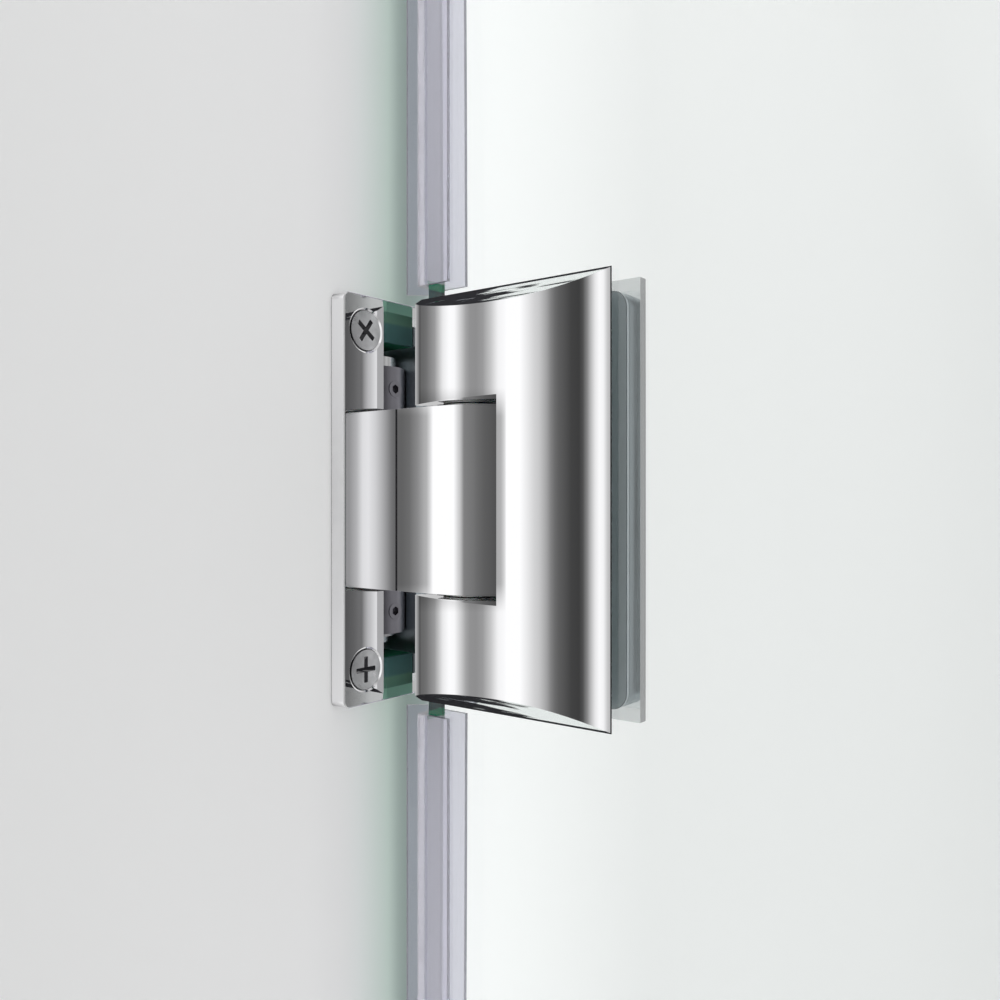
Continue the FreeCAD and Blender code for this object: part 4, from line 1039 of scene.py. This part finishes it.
@dataclass
class WallMount:
    """The plate on the wall with its screws and the knuckle's hidden screws."""

    prefix: str
    lift: float
    sizes: HingeSizes = field(default_factory=HingeSizes)
    edge_break: float = 0.3
    side_draft: float = 0.17
    side_margin: float = 1.0
    sink_gap: float = 0.3
    rim_width: float = 0.28
    rim_depth: float = 0.43
    block_screw_radius: float = 2.65
    block_screw_head: float = 4.95
    block_screw_half_spacing: float = 14.0
    shank_end: float = -46.0
    point_length: float = 5.0
    thread_depth: float = 0.55
    thread_turns: float = 19.0
    thread_start: float = 7.0
    thread_taper: float = 0.2
    cross_arm: float = 2.8
    cross_half_slot: float = 0.5
    cross_over: float = 0.6
    cross_wall: float = 0.1
    cross_floor: float = 1.8
    cross_taper: float = 0.45
    cross_turn: float = 27.0
    screw_break: float = 0.07
    skin: float = 0.02
    slack: float = 0.05

    def plate_part(self, face: Face) -> int:
        """Returns the number of a face's finish: polished, side, or back edge with painted contact shade."""
        s = self.sizes
        inside = abs(face.center.y) < s.plate_half_width - self.side_margin
        if inside and abs(face.center.z) < s.half_height - self.side_margin:
            return 0
        # The back edge against the wall takes painted contact shade.
        if face.center.x < self.edge_break and face.normal.x > -ALONG:
            return 2
        return 1 if math.hypot(face.normal.y, face.normal.z) > ALONG else 0

    def plate(self) -> Blank:
        """Returns the rounded plate with its countersunk holes."""
        s = self.sizes
        face, corner = s.plate_thickness, (s.plate_half_width, s.half_height)
        outline = rounded(rectangle((-corner[0], -corner[1]), corner), (s.plate_corner,) * 4, steps=14)
        plate = Blank.prism(outline, 0.0, face, Axis.X)
        for vertex in plate.mesh.vertices:
            if vertex.co.x > face / 2:
                vertex.co.y *= 1 - self.side_draft / corner[0]
                vertex.co.z *= 1 - self.side_draft / corner[1]
        hole = s.screw_radius + s.screw_clearance
        head = s.screw_head + self.sink_gap
        top = face + PAST
        sink = Blank.turned([(0, -PAST), (hole, -PAST), (hole, face - head + hole), (head + PAST, top), (0, top)])
        sink.aimed((1, 0, 0))
        tools = [
            sink.copy().moved(0, s.screw_half_width * side, s.screw_half_height * end)
            for side in SIDES
            for end in SIDES
        ]
        back, bore = self.block_screw_head, self.block_screw_radius
        hidden = Blank.turned([(0, -PAST), (back + PAST, -PAST), (bore, back - bore), (bore, top), (0, top)])
        hidden.aimed((1, 0, 0))
        tools += [hidden.copy().moved(z=self.block_screw_half_spacing * end) for end in SIDES]
        return plate.softened(self.edge_break, segments=3).cut(*tools).smoothed().parted(self.plate_part)

    def screw(self) -> Blank:
        """Returns one wall screw along -X from its face, with its cross, thread and point."""
        s = self.sizes
        head, neck = s.screw_head, s.screw_radius - self.thread_depth
        length = s.plate_thickness - self.shank_end
        profile = [
            (0, 0), (head - self.rim_width, 0), (head, self.rim_depth), (neck, head - neck + self.rim_depth),
            (neck, length - self.point_length), (0, length),
        ]
        body = Blank.turned(profile, steps=48)
        arm, half, wall, floor = self.cross_arm, self.cross_half_slot, self.cross_wall, self.cross_floor
        foot, over = arm * self.cross_taper, -self.cross_over
        tool = [(-arm, over), (arm, over), (arm, wall), (foot, floor), (-foot, floor), (-arm, wall)]
        body.cut(*(Blank.prism(tool, -half, half, Axis.Y).spun(turn, Axis.Z) for turn in (0, 90)))
        body.softened(self.screw_break, segments=1)
        helix_recipe("screw_thread_" + self.prefix, SCREW_CHROME, sides=4).run(
            body, Turns=self.thread_turns, Coil_Radius=neck, End_Radius=neck - self.thread_taper,
            Length=length - self.point_length - self.thread_start, Wire_Radius=self.thread_depth,
            Start=self.thread_start,
        )
        return body.aimed((-1, 0, 0))

    def screw_part(self, face: Face) -> int:
        """Returns the number of a face's finish: screw, cross recess or rim, the last two with painted shade, while
        the heads lie at X = 0.
        """
        s = self.sizes
        depth = -face.center.x
        radial = math.hypot(abs(face.center.y) - s.screw_half_width, abs(face.center.z) - s.screw_half_height)
        # The cross recess takes painted shade.
        if self.skin < depth < self.cross_floor + 4 * self.slack and radial < self.cross_arm + self.slack:
            return 1
        # The rim takes painted shade.
        rim = radial > s.screw_head - self.rim_width - self.slack
        return 2 if rim and depth < self.rim_depth + 2 * self.slack else 0

    def build(self) -> None:
        """Places the plate, its screws and the hidden screws."""
        s = self.sizes
        # Painted contact shade on the plate's back edge.
        finishes = (CHROME, SATIN_RIM, PAINTED_SHADE_EDGE)
        plate = self.plate().moved(z=self.lift)
        plate = plate.placed(self.prefix + "_wall_plate", "_polished", Body.WALL, Slot.CHROME, *finishes)
        spread = fastener_grid_recipe("wall_screws_" + self.prefix, SCREW_CHROME)
        screws = spread.run(
            self.screw(), Half_Width=s.screw_half_width, Half_Height=s.screw_half_height, Turn=0.0,
            Turn_Step=self.cross_turn,
        )
        screws = screws.parted(self.screw_part).moved(s.plate_thickness, 0, self.lift)
        # Painted shade in the cross and on the rim.
        finishes = (SCREW_CHROME, CROSS_RECESS_SHADE, PAINTED_SHADE_EDGE)
        screws = screws.placed(self.prefix + "_wall_screws", "_turned", Body.WALL, Slot.SCREW_CHROME, *finishes)
        plate.visible_glossy = screws.visible_glossy = False
        place_copy(self.prefix + "_block_screws", "_zinc", Body.WALL, Slot.ZINC_STEEL)


@dataclass
class Knuckle:
    """The swelling block with its bushings, plunger and spring."""

    prefix: str
    lift: float
    plunger_body: Body
    sizes: HingeSizes = field(default_factory=HingeSizes)
    plan: Sequence[tuple[float, float, float]] = (
        (4.0, 7.909, 0.0), (4.3, 7.9315, 96.8), (11.5, 8.2, 96.8), (20.4, 7.656, 73.0), (23.1, 6.916, 9.87),
        (25.4, 5.902, 150.0), (31.5, 2.742, 63.5),
    )
    nose_radius: float = 1.6
    edge_round: float = 0.25
    bushing_seat: float = 5.53
    bushing_depth: float = 9.03
    pin_bore: float = 4.36
    plunger_bore: float = 4.0
    coil_turns: float = 4.6
    coil_radius: float = 3.1
    wire_radius: float = 0.48
    coil_start: float = 4.6
    coil_end: float = 10.4

    def block(self) -> Blank:
        """Returns the block with its bores."""
        s = self.sizes
        upper = [self.plan[0][:2]]
        for *end, radius in self.plan[1:]:
            upper += arc(upper[-1], tuple(end), radius, steps=12)[1:]
        corners = upper + [(x, -y) for x, y in reversed(upper)]
        keep = (0.0,) * (len(upper) - 1)
        outline = rounded(corners, (*keep, self.nose_radius, self.nose_radius, *keep), steps=8)
        high, centre = s.knuckle_half_height, (s.pivot, 0.0)
        floor = high - self.bushing_depth
        tools = [
            rod(self.pin_bore, -high - PAST, high + PAST, Axis.Z, centre),
            rod(self.bushing_seat, floor, high + PAST, Axis.Z, centre),
            rod(self.bushing_seat, -high - PAST, -floor, Axis.Z, centre),
            rod(self.plunger_bore, s.plate_thickness - PAST, s.pivot, Axis.X),
        ]
        block = Blank.prism(outline, -high, high, Axis.Z).cut(*tools).softened(self.edge_round, segments=3)
        # Faces at the root against the plate take painted shade.
        return block.parted(lambda face: int(face.center.x < self.plan[1][0]))

    def build(self) -> None:
        """Places the block, the bushings, the plunger and the wound spring."""
        block = self.block().moved(z=self.lift)
        block.placed(self.prefix + "_knuckle_block", "_polished", Body.WALL, Slot.CHROME, CHROME, PAINTED_SHADE_EDGE)
        place_copy(self.prefix + "_pivot_bushings", "_moulded", Body.WALL, Slot.NYLON)
        place_copy(self.prefix + "_detent_plunger", "_ground", self.plunger_body, Slot.PIN_STEEL)
        wound = helix_recipe("detent_coil_" + self.prefix, SPRING_STEEL, sides=10).run(
            Blank(bpy.data.meshes.new("empty")), Turns=self.coil_turns, Coil_Radius=self.coil_radius,
            End_Radius=self.coil_radius, Length=self.coil_end - self.coil_start, Wire_Radius=self.wire_radius,
            Start=self.coil_start,
        )
        wound.aimed((1, 0, 0)).smoothed(angle=60).moved(z=self.lift)
        wound.placed(self.prefix + "_detent_spring", "_wound", Body.WALL, Slot.SPRING_STEEL)


@dataclass
class LensCover:
    """The lens-shaped cover on the dry side, with its slanted ends, notch and pin bosses."""

    prefix: str
    lift: float
    sizes: HingeSizes = field(default_factory=HingeSizes)
    edge_thickness: float = 2.12
    lip: Point2 = (13.6, 3.84)
    lip_radius: float = 16.0
    peak_thickness: float = 8.4
    peak: float = 40.0
    tip_thickness: float = 0.55
    end_slope: float = 0.63
    boss_radius: float = 8.0
    boss_face: float = 5.7
    pin_clearance: float = 0.03
    set_screw_bore: float = 2.03
    set_screw_height: float = 26.5
    clamp_thread: float = 3.03
    clamp_place: Point2 = (41.0, 29.0)
    thread_depth: float = 5.6
    edge_round: float = 0.12
    tool_reach: float = 20.0
    boss_start: float = 0.2
    end_normal: float = 0.6
    end_start: float = 5.0
    tip_normal: float = 0.8
    tip_margin: float = 0.3

    def tangent_radius(self, run: float, rise: float) -> float:
        """Returns the radius of an arc that is level at its peak and falls by rise over run."""
        return (run * run + rise * rise) / (2 * rise)

    def end(self, x: float, y: float) -> float:
        """Returns how high the slanted end is at a place in plan."""
        return self.sizes.half_height - self.end_slope * (self.sizes.outer_face - y)

    def shell(self) -> Blank:
        """Returns the cover."""
        s = self.sizes
        back = s.outer_face
        peak = (self.peak, back - self.peak_thickness)
        tip = (s.tip, back - self.tip_thickness)
        lip = (self.lip[0], back - self.lip[1])
        near = self.tangent_radius(self.peak - self.lip[0], self.peak_thickness - self.lip[1])
        far = self.tangent_radius(s.tip - self.peak, self.peak_thickness - self.tip_thickness)
        outline = [(s.near_edge, back)]
        outline += arc((s.near_edge, back - self.edge_thickness), lip, -self.lip_radius, steps=16)
        outline += arc(lip, peak, -near, steps=72)[1:]
        outline += arc(peak, tip, -far, steps=72)[1:]
        outline.append((s.tip, back))
        cover = Blank.prism(outline, lambda x, y: -self.end(x, y), self.end, Axis.Z)
        cover.cut(bar((s.near_edge - PAST, -self.tool_reach, -s.notch_half), (s.notch_edge, PAST, s.notch_half)))
        pivot = (s.pivot, 0.0)
        for low, high in ((s.notch_half, s.boss_top), (-s.boss_top, -s.notch_half)):
            boss = rod(self.boss_radius, low, high, Axis.Z, pivot, steps=96)
            beyond = (2 * self.tool_reach, self.tool_reach, high + PAST)
            cover.joined(boss.cut(bar((0, self.boss_face, low - PAST), beyond)))
        top = s.boss_top + PAST
        cover.cut(rod(s.pin_radius + self.pin_clearance, -top, top, Axis.Z, pivot))
        for side in SIDES:
            up = self.set_screw_height * side
            start = s.pivot - self.boss_radius - PAST
            cover.cut(rod(self.set_screw_bore, start, s.pivot, Axis.X, (0.0, up), steps=32))
            thread = (self.clamp_place[0], self.clamp_place[1] * side)
            cover.cut(rod(self.clamp_thread, back - self.thread_depth, back + PAST, Axis.Y, thread, steps=32))
        return cover.softened(self.edge_round).parted(self.part_of)

    def part_of(self, face: Face) -> int:
        """Returns the number of a face's finish: polished, boss, end with painted dark reflection, or tip with
        painted shade.
        """
        s = self.sizes
        if face.center.y > s.outer_face + self.boss_start:
            return 1
        if abs(face.normal.z) > self.end_normal and abs(face.center.z) > s.notch_half + self.end_start:
            return 2
        # The tip's end face takes a painted shade line.
        return 3 if face.normal.x > self.tip_normal and face.center.x > s.tip - self.tip_margin else 0

    def build(self) -> None:
        """Places the cover, the pin with its clip and the set screws."""
        shell = self.shell().moved(z=self.lift)
        # The ends carry painted dark reflection and the tip a painted shade line.
        finishes = (CHROME, SATIN_BOSS, DARK_REFLECTION_END, PAINTED_SHADE_EDGE)
        shell.placed(self.prefix + "_outer_cover", "_polished", Body.DOOR, Slot.CHROME, *finishes)
        for node, slot, finish in (
            ("_pivot_pin", Slot.PIN_STEEL, PIN_STEEL), ("_pin_clip", Slot.SPRING_STEEL, SPRING_STEEL),
            ("_pin_set_screws", Slot.ZINC_STEEL, SATIN_BOSS),
        ):
            place_copy(self.prefix + node, "_fine", Body.DOOR, slot, finish)


@dataclass
class GlassClamp:
    """The layers that clamp the glass: gaskets, clamp plate, flat cover, screws and sleeves."""

    prefix: str
    cover_round: float = 0.12
    layer_round: float = 0.22
    sharp_angle: float = 35.0
    edge_normals: Sequence[float] = (0.2, 0.98)

    def build(self) -> None:
        """Places the layers with fine edges, whose bevels carry a painted shade where two layers meet."""
        low, high = self.edge_normals
        for node, slot, width in (
            ("_outer_gasket", Slot.CLEAR_GASKET, self.layer_round),
            ("_inner_gasket", Slot.CLEAR_GASKET, self.layer_round),
            ("_clamp_plate", Slot.CLAMP_STEEL, self.layer_round),
            ("_inner_cover", Slot.CHROME, self.cover_round),
            ("_clamp_screws", Slot.ZINC_STEEL, 0.0),
            ("_clamp_sleeves", Slot.NYLON, 0.0),
        ):
            shape = Blank.of_node(self.prefix + node)
            shape = shape.softened(width, angle=self.sharp_angle) if width else shape.smoothed()
            layer = width == self.layer_round
            shape.parted(lambda face: int(layer and low < abs(face.normal.y) < high))
            shape.placed(self.prefix + node, "_fine", Body.DOOR, slot, SLOT_FINISHES[slot], LAYER_SHADE_EDGE)


# ---------------------------------------------------------------------------------------------
# The door
# ---------------------------------------------------------------------------------------------
@dataclass
class GlassPanel:
    """The toughened panel, with its ground edges in a finish of their own."""

    node: str = "glass_panel"
    thinner: float = 0.996
    face_normal: float = 0.9

    def build(self) -> None:
        """Places the glass, a hair thinner than its solid so that nothing shares its faces."""
        glass = Blank.of_node(self.node)
        glass.mesh.transform(Matrix.Diagonal((1.0, self.thinner, 1.0, 1.0)))
        glass.smoothed().parted(lambda face: int(abs(face.normal.y) <= self.face_normal))
        glass.placed(self.node, "_clear", Body.DOOR, Slot.CLEAR_GLASS, CLEAR_GLASS, GLASS_EDGE)


@dataclass
class EdgeSeals:
    """The clear seals on the edges of the glass."""

    half_glass: float = 5.0
    hair: float = 0.05
    wall: float = 1.0
    spine: float = 2.0
    glass_gap: float = 0.3
    glass_near: float = 10.6
    glass_far: float = 620.6
    glass_top: float = 229.0
    glass_bottom: float = -1600.0
    dry_leg: float = 7.3
    wet_leg: float = 6.9
    fin_drop: float = 6.1
    fin_thickness: float = 1.1
    fin_wall_gap: float = 0.3
    strike_reach: float = 8.0
    seal_start: float = 48.2
    sweep_leg: float = 20.0
    end_gap: float = 0.3
    sweep_fin: float = 9.0
    sweep_lean: float = 1.2
    sweep_fin_thickness: float = 0.9
    drip_reach: float = 7.5
    drip_fall: float = 4.0
    drip_thickness: float = 1.3
    side_radii: Sequence[float] = (0.2, 0.7, 0.3, 0.3, 0.3, 0.6, 0.2, 0.2, 0.3, 0.3, 0.2)
    sweep_radii: Sequence[float] = (
        0.2, 0.3, 0.2, 0.2, 0.3, 0.3, 0.2, 0.2, 0.3, 0.3, 0.3, 0.3, 0.3, 0.2, 0.2, 0.3, 0.3, 0.2,
    )

    def side_outline(self, inner: float, away: float, tip: float) -> list[Point2]:
        """Returns the section of a side seal in plan.

        Args:
            inner: where the spine starts.
            away: 1 or -1, the way from the glass to the spine.
            tip: where the fin ends.

        Returns:
            The outline's points.
        """
        face = self.half_glass + self.wall
        seat = self.half_glass + self.hair
        outer = inner + self.spine * away
        drop = face - self.fin_drop
        thin = self.fin_thickness
        dry, wet = inner - self.dry_leg * away, inner - self.wet_leg * away
        corners = [
            (dry, -face), (outer, -face), (outer, face - thin), (tip, drop - thin), (tip, drop), (outer, face),
            (wet, face), (wet, seat), (inner, seat), (inner, -seat), (dry, -seat),
        ]
        return rounded(corners, self.side_radii, steps=5)

    def sweep_outline(self) -> list[Point2]:
        """Returns the section of the bottom sweep, across the door and up."""
        face = self.half_glass + self.wall
        inside = self.half_glass + self.hair
        top = self.glass_bottom + self.sweep_leg
        seat = self.glass_bottom - self.glass_gap
        base = seat - self.spine
        lip = base - self.sweep_fin
        thin = self.sweep_fin_thickness
        lean = face + self.sweep_lean
        root = self.glass_bottom + self.spine
        tip = root - self.drip_fall
        drip, end = self.drip_thickness, face + self.drip_reach
        corners = [
            (-face, top), (-face, base), (-lean, lip), (-lean + thin, lip), (-face + thin, base),
            (face - thin, base), (lean - thin, lip), (lean, lip), (face, base), (face, root - drip),
            (end, tip - drip), (end, tip), (face, root), (face, top), (inside, top), (inside, seat),
            (-inside, seat), (-inside, top),
        ]
        return rounded(corners, self.sweep_radii, steps=4)

    def build(self) -> None:
        """Places the five seals."""
        draw = strip_recipe("seal_strip", CLEAR_VINYL)
        far = self.glass_far + self.glass_gap
        foot = self.glass_bottom + self.sweep_leg + self.end_gap
        hinge = self.side_outline(self.glass_near - self.glass_gap, -1, self.fin_wall_gap)
        strike = self.side_outline(far, 1, far + self.spine + self.strike_reach)
        for node, outline, low, high in (
            ("hinge_seal_top", hinge, self.seal_start, self.glass_top),
            ("hinge_seal_middle", hinge, LOWER_HINGE + self.seal_start, -self.seal_start),
            ("hinge_seal_bottom", hinge, foot, LOWER_HINGE - self.seal_start),
            ("strike_seal", strike, foot, self.glass_top),
        ):
            strip = draw.run(loop_of(outline), Length=high - low)
            strip.smoothed().moved(z=low).placed(node, "_clear", Body.DOOR, Slot.CLEAR_VINYL)
        sweep = draw.run(loop_of(self.sweep_outline()), Length=self.glass_far - self.glass_near)
        sweep.mesh.transform(Matrix(((0, 0, 1, self.glass_near), (1, 0, 0, 0), (0, 1, 0, 0), (0, 0, 0, 1))))
        sweep.smoothed().placed("bottom_sweep", "_clear", Body.DOOR, Slot.CLEAR_VINYL)


@dataclass
class PullHandle:
    """The back-to-back pull handle and what fixes it."""

    x: float = 557.1
    z: float = -600.0
    half_centres: float = 101.5
    half_length: float = 152.5
    bar_radius: float = 9.5
    bar_from_glass: float = 56.0
    post_radius: float = 8.0
    foot: float = 6.0
    end_round: float = 1.0
    stud_bore: float = 3.03
    stud_depth: float = 18.4
    grub_bore: float = 2.53
    grub_from_foot: float = 6.0
    grub_overrun: float = 0.37
    edge_round: float = 0.25
    sharp_angle: float = 35.0

    def half(self, side: int) -> Blank:
        """Returns the bar with its posts on one side of the door, -1 for the dry one and 1 for the wet one."""
        centre = self.bar_from_glass * side
        reach, edge = self.half_length, self.end_round
        profile = [(0, -reach), (self.bar_radius - edge, -reach)]
        profile += arc((self.bar_radius - edge, -reach), (self.bar_radius, edge - reach), -edge, steps=6)[1:]
        profile += [(radius, -height) for radius, height in reversed(profile)]
        whole = Blank.turned(profile, steps=96).moved(y=centre)
        for end in SIDES:
            up = self.half_centres * end
            low, high = sorted((self.foot * side, centre))
            whole.joined(rod(self.post_radius, low, high, Axis.Y, (0.0, up), steps=90))
            low, high = sorted(((self.foot - PAST) * side, self.stud_depth * side))
            whole.cut(rod(self.stud_bore, low, high, Axis.Y, (0.0, up), steps=32))
            if side > 0:
                low, high = up - self.post_radius - PAST, up + self.grub_overrun
                place = (0.0, self.foot + self.grub_from_foot)
                whole.cut(rod(self.grub_bore, low, high, Axis.Z, place, steps=30))
        return whole.softened(self.edge_round, angle=self.sharp_angle)

    def build(self) -> None:
        """Places both bars and what fixes them."""
        for side, node in ((-1, "handle_outer"), (1, "handle_inner")):
            self.half(side).moved(self.x, 0, self.z).placed(node, "_polished", Body.DOOR, Slot.CHROME)
        for node, slot in (
            ("handle_studs", Slot.ZINC_STEEL), ("handle_washers", Slot.CLEAR_GASKET),
            ("handle_sleeves", Slot.NYLON), ("handle_set_screws", Slot.ZINC_STEEL),
        ):
            place_copy(node, "_fine", Body.DOOR, slot)


# ---------------------------------------------------------------------------------------------
# The studio
# ---------------------------------------------------------------------------------------------
@dataclass
class Studio:
    """The stage, the light and the camera. The marks give a light level over the azimuth in degrees."""

    camera_place: Sequence[float] = (0.1519, -0.1602, 0.0)
    camera_aim: Sequence[float] = (-0.613, 0.790, 0.0)
    lens: float = 33.48
    sensor: float = 36.0
    clip_start: float = 0.005
    wall_face: float = -0.0003
    floor_level: float = -1.6125
    stage_reach: float = 4.0
    backdrop_level: float = 0.88
    fill_level: float = 1.0
    box_level: float = 1.3
    overhead_level: float = 0.75
    overhead_band: Sequence[float] = (0.68, 0.85)
    surround: Sequence[Point2] = (
        (0.0, 0.45), (30.0, 0.45), (35.0, 0.71), (38.7, 1.15), (42.1, 1.22), (45.6, 1.01), (52.4, 0.295),
        (56.0, 0.10), (59.3, 0.06), (66.0, 0.07), (76.6, 0.14), (80.0, 0.185), (83.6, 0.28), (87.0, 0.445),
        (94.4, 0.74), (98.2, 0.82), (112.0, 1.27), (126.0, 1.27), (130.3, 1.15), (133.7, 0.71), (137.3, 0.41),
        (140.5, 0.345), (143.4, 0.36), (145.6, 0.47), (149.2, 0.91), (151.5, 1.21), (154.5, 1.25),
        (158.1, 1.03), (160.6, 0.67), (163.1, 0.40), (168.5, 0.21), (174.0, 0.13),
    )
    low_card: Marks = (
        (126.0, 1.0), (127.6, 0.70), (129.3, 0.47), (130.3, 0.46), (134.2, 0.45), (137.8, 0.46), (142.0, 0.43)
    )
    low_card_band: Sequence[float] = (0.09, 0.12)
    wet_side: Sequence[Point2] = (
        (0.0, 0.45), (34.0, 0.8), (38.0, 0.14), (43.2, 0.14), (44.4, 0.58), (50.0, 0.6), (60.0, 0.38),
        (72.0, 0.38), (90.0, 0.7), (115.0, 1.1), (135.0, 0.6), (150.0, 0.9), (180.0, 0.2),
    )

    def metal_light(self, graph: NodeGraph) -> Socket:
        """Adds the upright panels that metal shows and returns their light."""
        ray = graph.add("ShaderNodeTexCoord").outputs["Generated"]
        parts = graph.add("ShaderNodeSeparateXYZ", {"Vector": ray}).outputs
        azimuth = graph.calc("ARCTAN2", parts["Y"], parts["X"])
        degrees = graph.calc("DEGREES", graph.calc("ABSOLUTE", azimuth))
        steepness = graph.calc("ABSOLUTE", parts["Z"])
        dry, wet = (
            graph.ramp(degrees, [(mark, level / self.box_level) for mark, level in marks])
            for marks in (self.surround, self.wet_side)
        )
        let_by = graph.mix(graph.spread(steepness, *self.low_card_band), graph.ramp(degrees, self.low_card), 1.0)
        dry = graph.mix(1.0, dry, let_by, "MULTIPLY")
        light = graph.mix(graph.calc("LESS_THAN", azimuth, 0.0), wet, dry)
        over = graph.spread(steepness, *self.overhead_band, curve="SMOOTHSTEP")
        return graph.mix(over, light, self.overhead_level / self.box_level)

    def world(self) -> None:
        """Makes the world: upright panels for metal, a pale surround for everything else."""
        world = bpy.data.worlds.new("studio")
        world.use_nodes = True
        bpy.context.scene.world = world
        graph = NodeGraph(world.node_tree)
        metal, pale, fill = (
            graph.add("ShaderNodeBackground", {"Color": full_tone(tone), "Strength": level})
            for tone, level in (
                (self.metal_light(graph), self.box_level), (1.0, self.backdrop_level), (1.0, self.fill_level)
            )
        )
        rays = graph.add("ShaderNodeLightPath").outputs
        seen = graph.either(rays["Is Glossy Ray"], graph.either(rays["Is Diffuse Ray"], pale, fill), metal)
        graph.add("ShaderNodeOutputWorld", {"Surface": seen.outputs[0]})

    def sheet(self, corners: Sequence[Sequence[float]], finish: Finish) -> None:
        """Makes a flat piece of the stage, which metal doesn't show.

        Args:
            corners: its corners in metres, anticlockwise from the side that is seen.
            finish: its finish, which has its name.
        """
        mesh = bpy.data.meshes.new(finish.name)
        mesh.from_pydata([tuple(corner) for corner in corners], [], [tuple(range(len(corners)))])
        mesh.materials.append(finish.material())
        sheet = bpy.data.objects.new(finish.name, mesh)
        bpy.context.scene.collection.objects.link(sheet)
        sheet.visible_glossy = False

    def build(self) -> None:
        """Makes the wall, the floor, the light and the camera."""
        scene = bpy.context.scene
        scene.view_settings.view_transform = "Standard"
        self.world()
        x, z, far = self.wall_face, self.floor_level, self.stage_reach
        self.sheet(((x, -far, z), (x, far, z), (x, far, far), (x, -far, far)), StageWall("stage_wall"))
        self.sheet(((-far, -far, z), (far, -far, z), (far, far, z), (-far, far, z)), StageFloor("stage_floor"))
        camera = bpy.data.objects.new("camera", bpy.data.cameras.new("camera"))
        camera.data.lens = self.lens
        camera.data.sensor_width = self.sensor
        camera.data.clip_start = self.clip_start
        camera.location = self.camera_place
        camera.rotation_mode = "QUATERNION"
        camera.rotation_quaternion = Vector(self.camera_aim).to_track_quat("-Z", "Y")
        scene.collection.objects.link(camera)
        scene.camera = camera


def main() -> None:
    """Builds the sub-assemblies in order, then the stage."""
    logging.basicConfig(level=logging.INFO, format="%(name)s: %(message)s")
    for prefix, lift, plunger in (("upper", 0.0, Body.UPPER_PLUNGER), ("lower", LOWER_HINGE, Body.LOWER_PLUNGER)):
        WallMount(prefix, lift).build()
        Knuckle(prefix, lift, plunger).build()
        LensCover(prefix, lift).build()
        GlassClamp(prefix).build()
    GlassPanel().build()
    EdgeSeals().build()
    PullHandle().build()
    Studio().build()


if __name__ == "__main__":
    main()
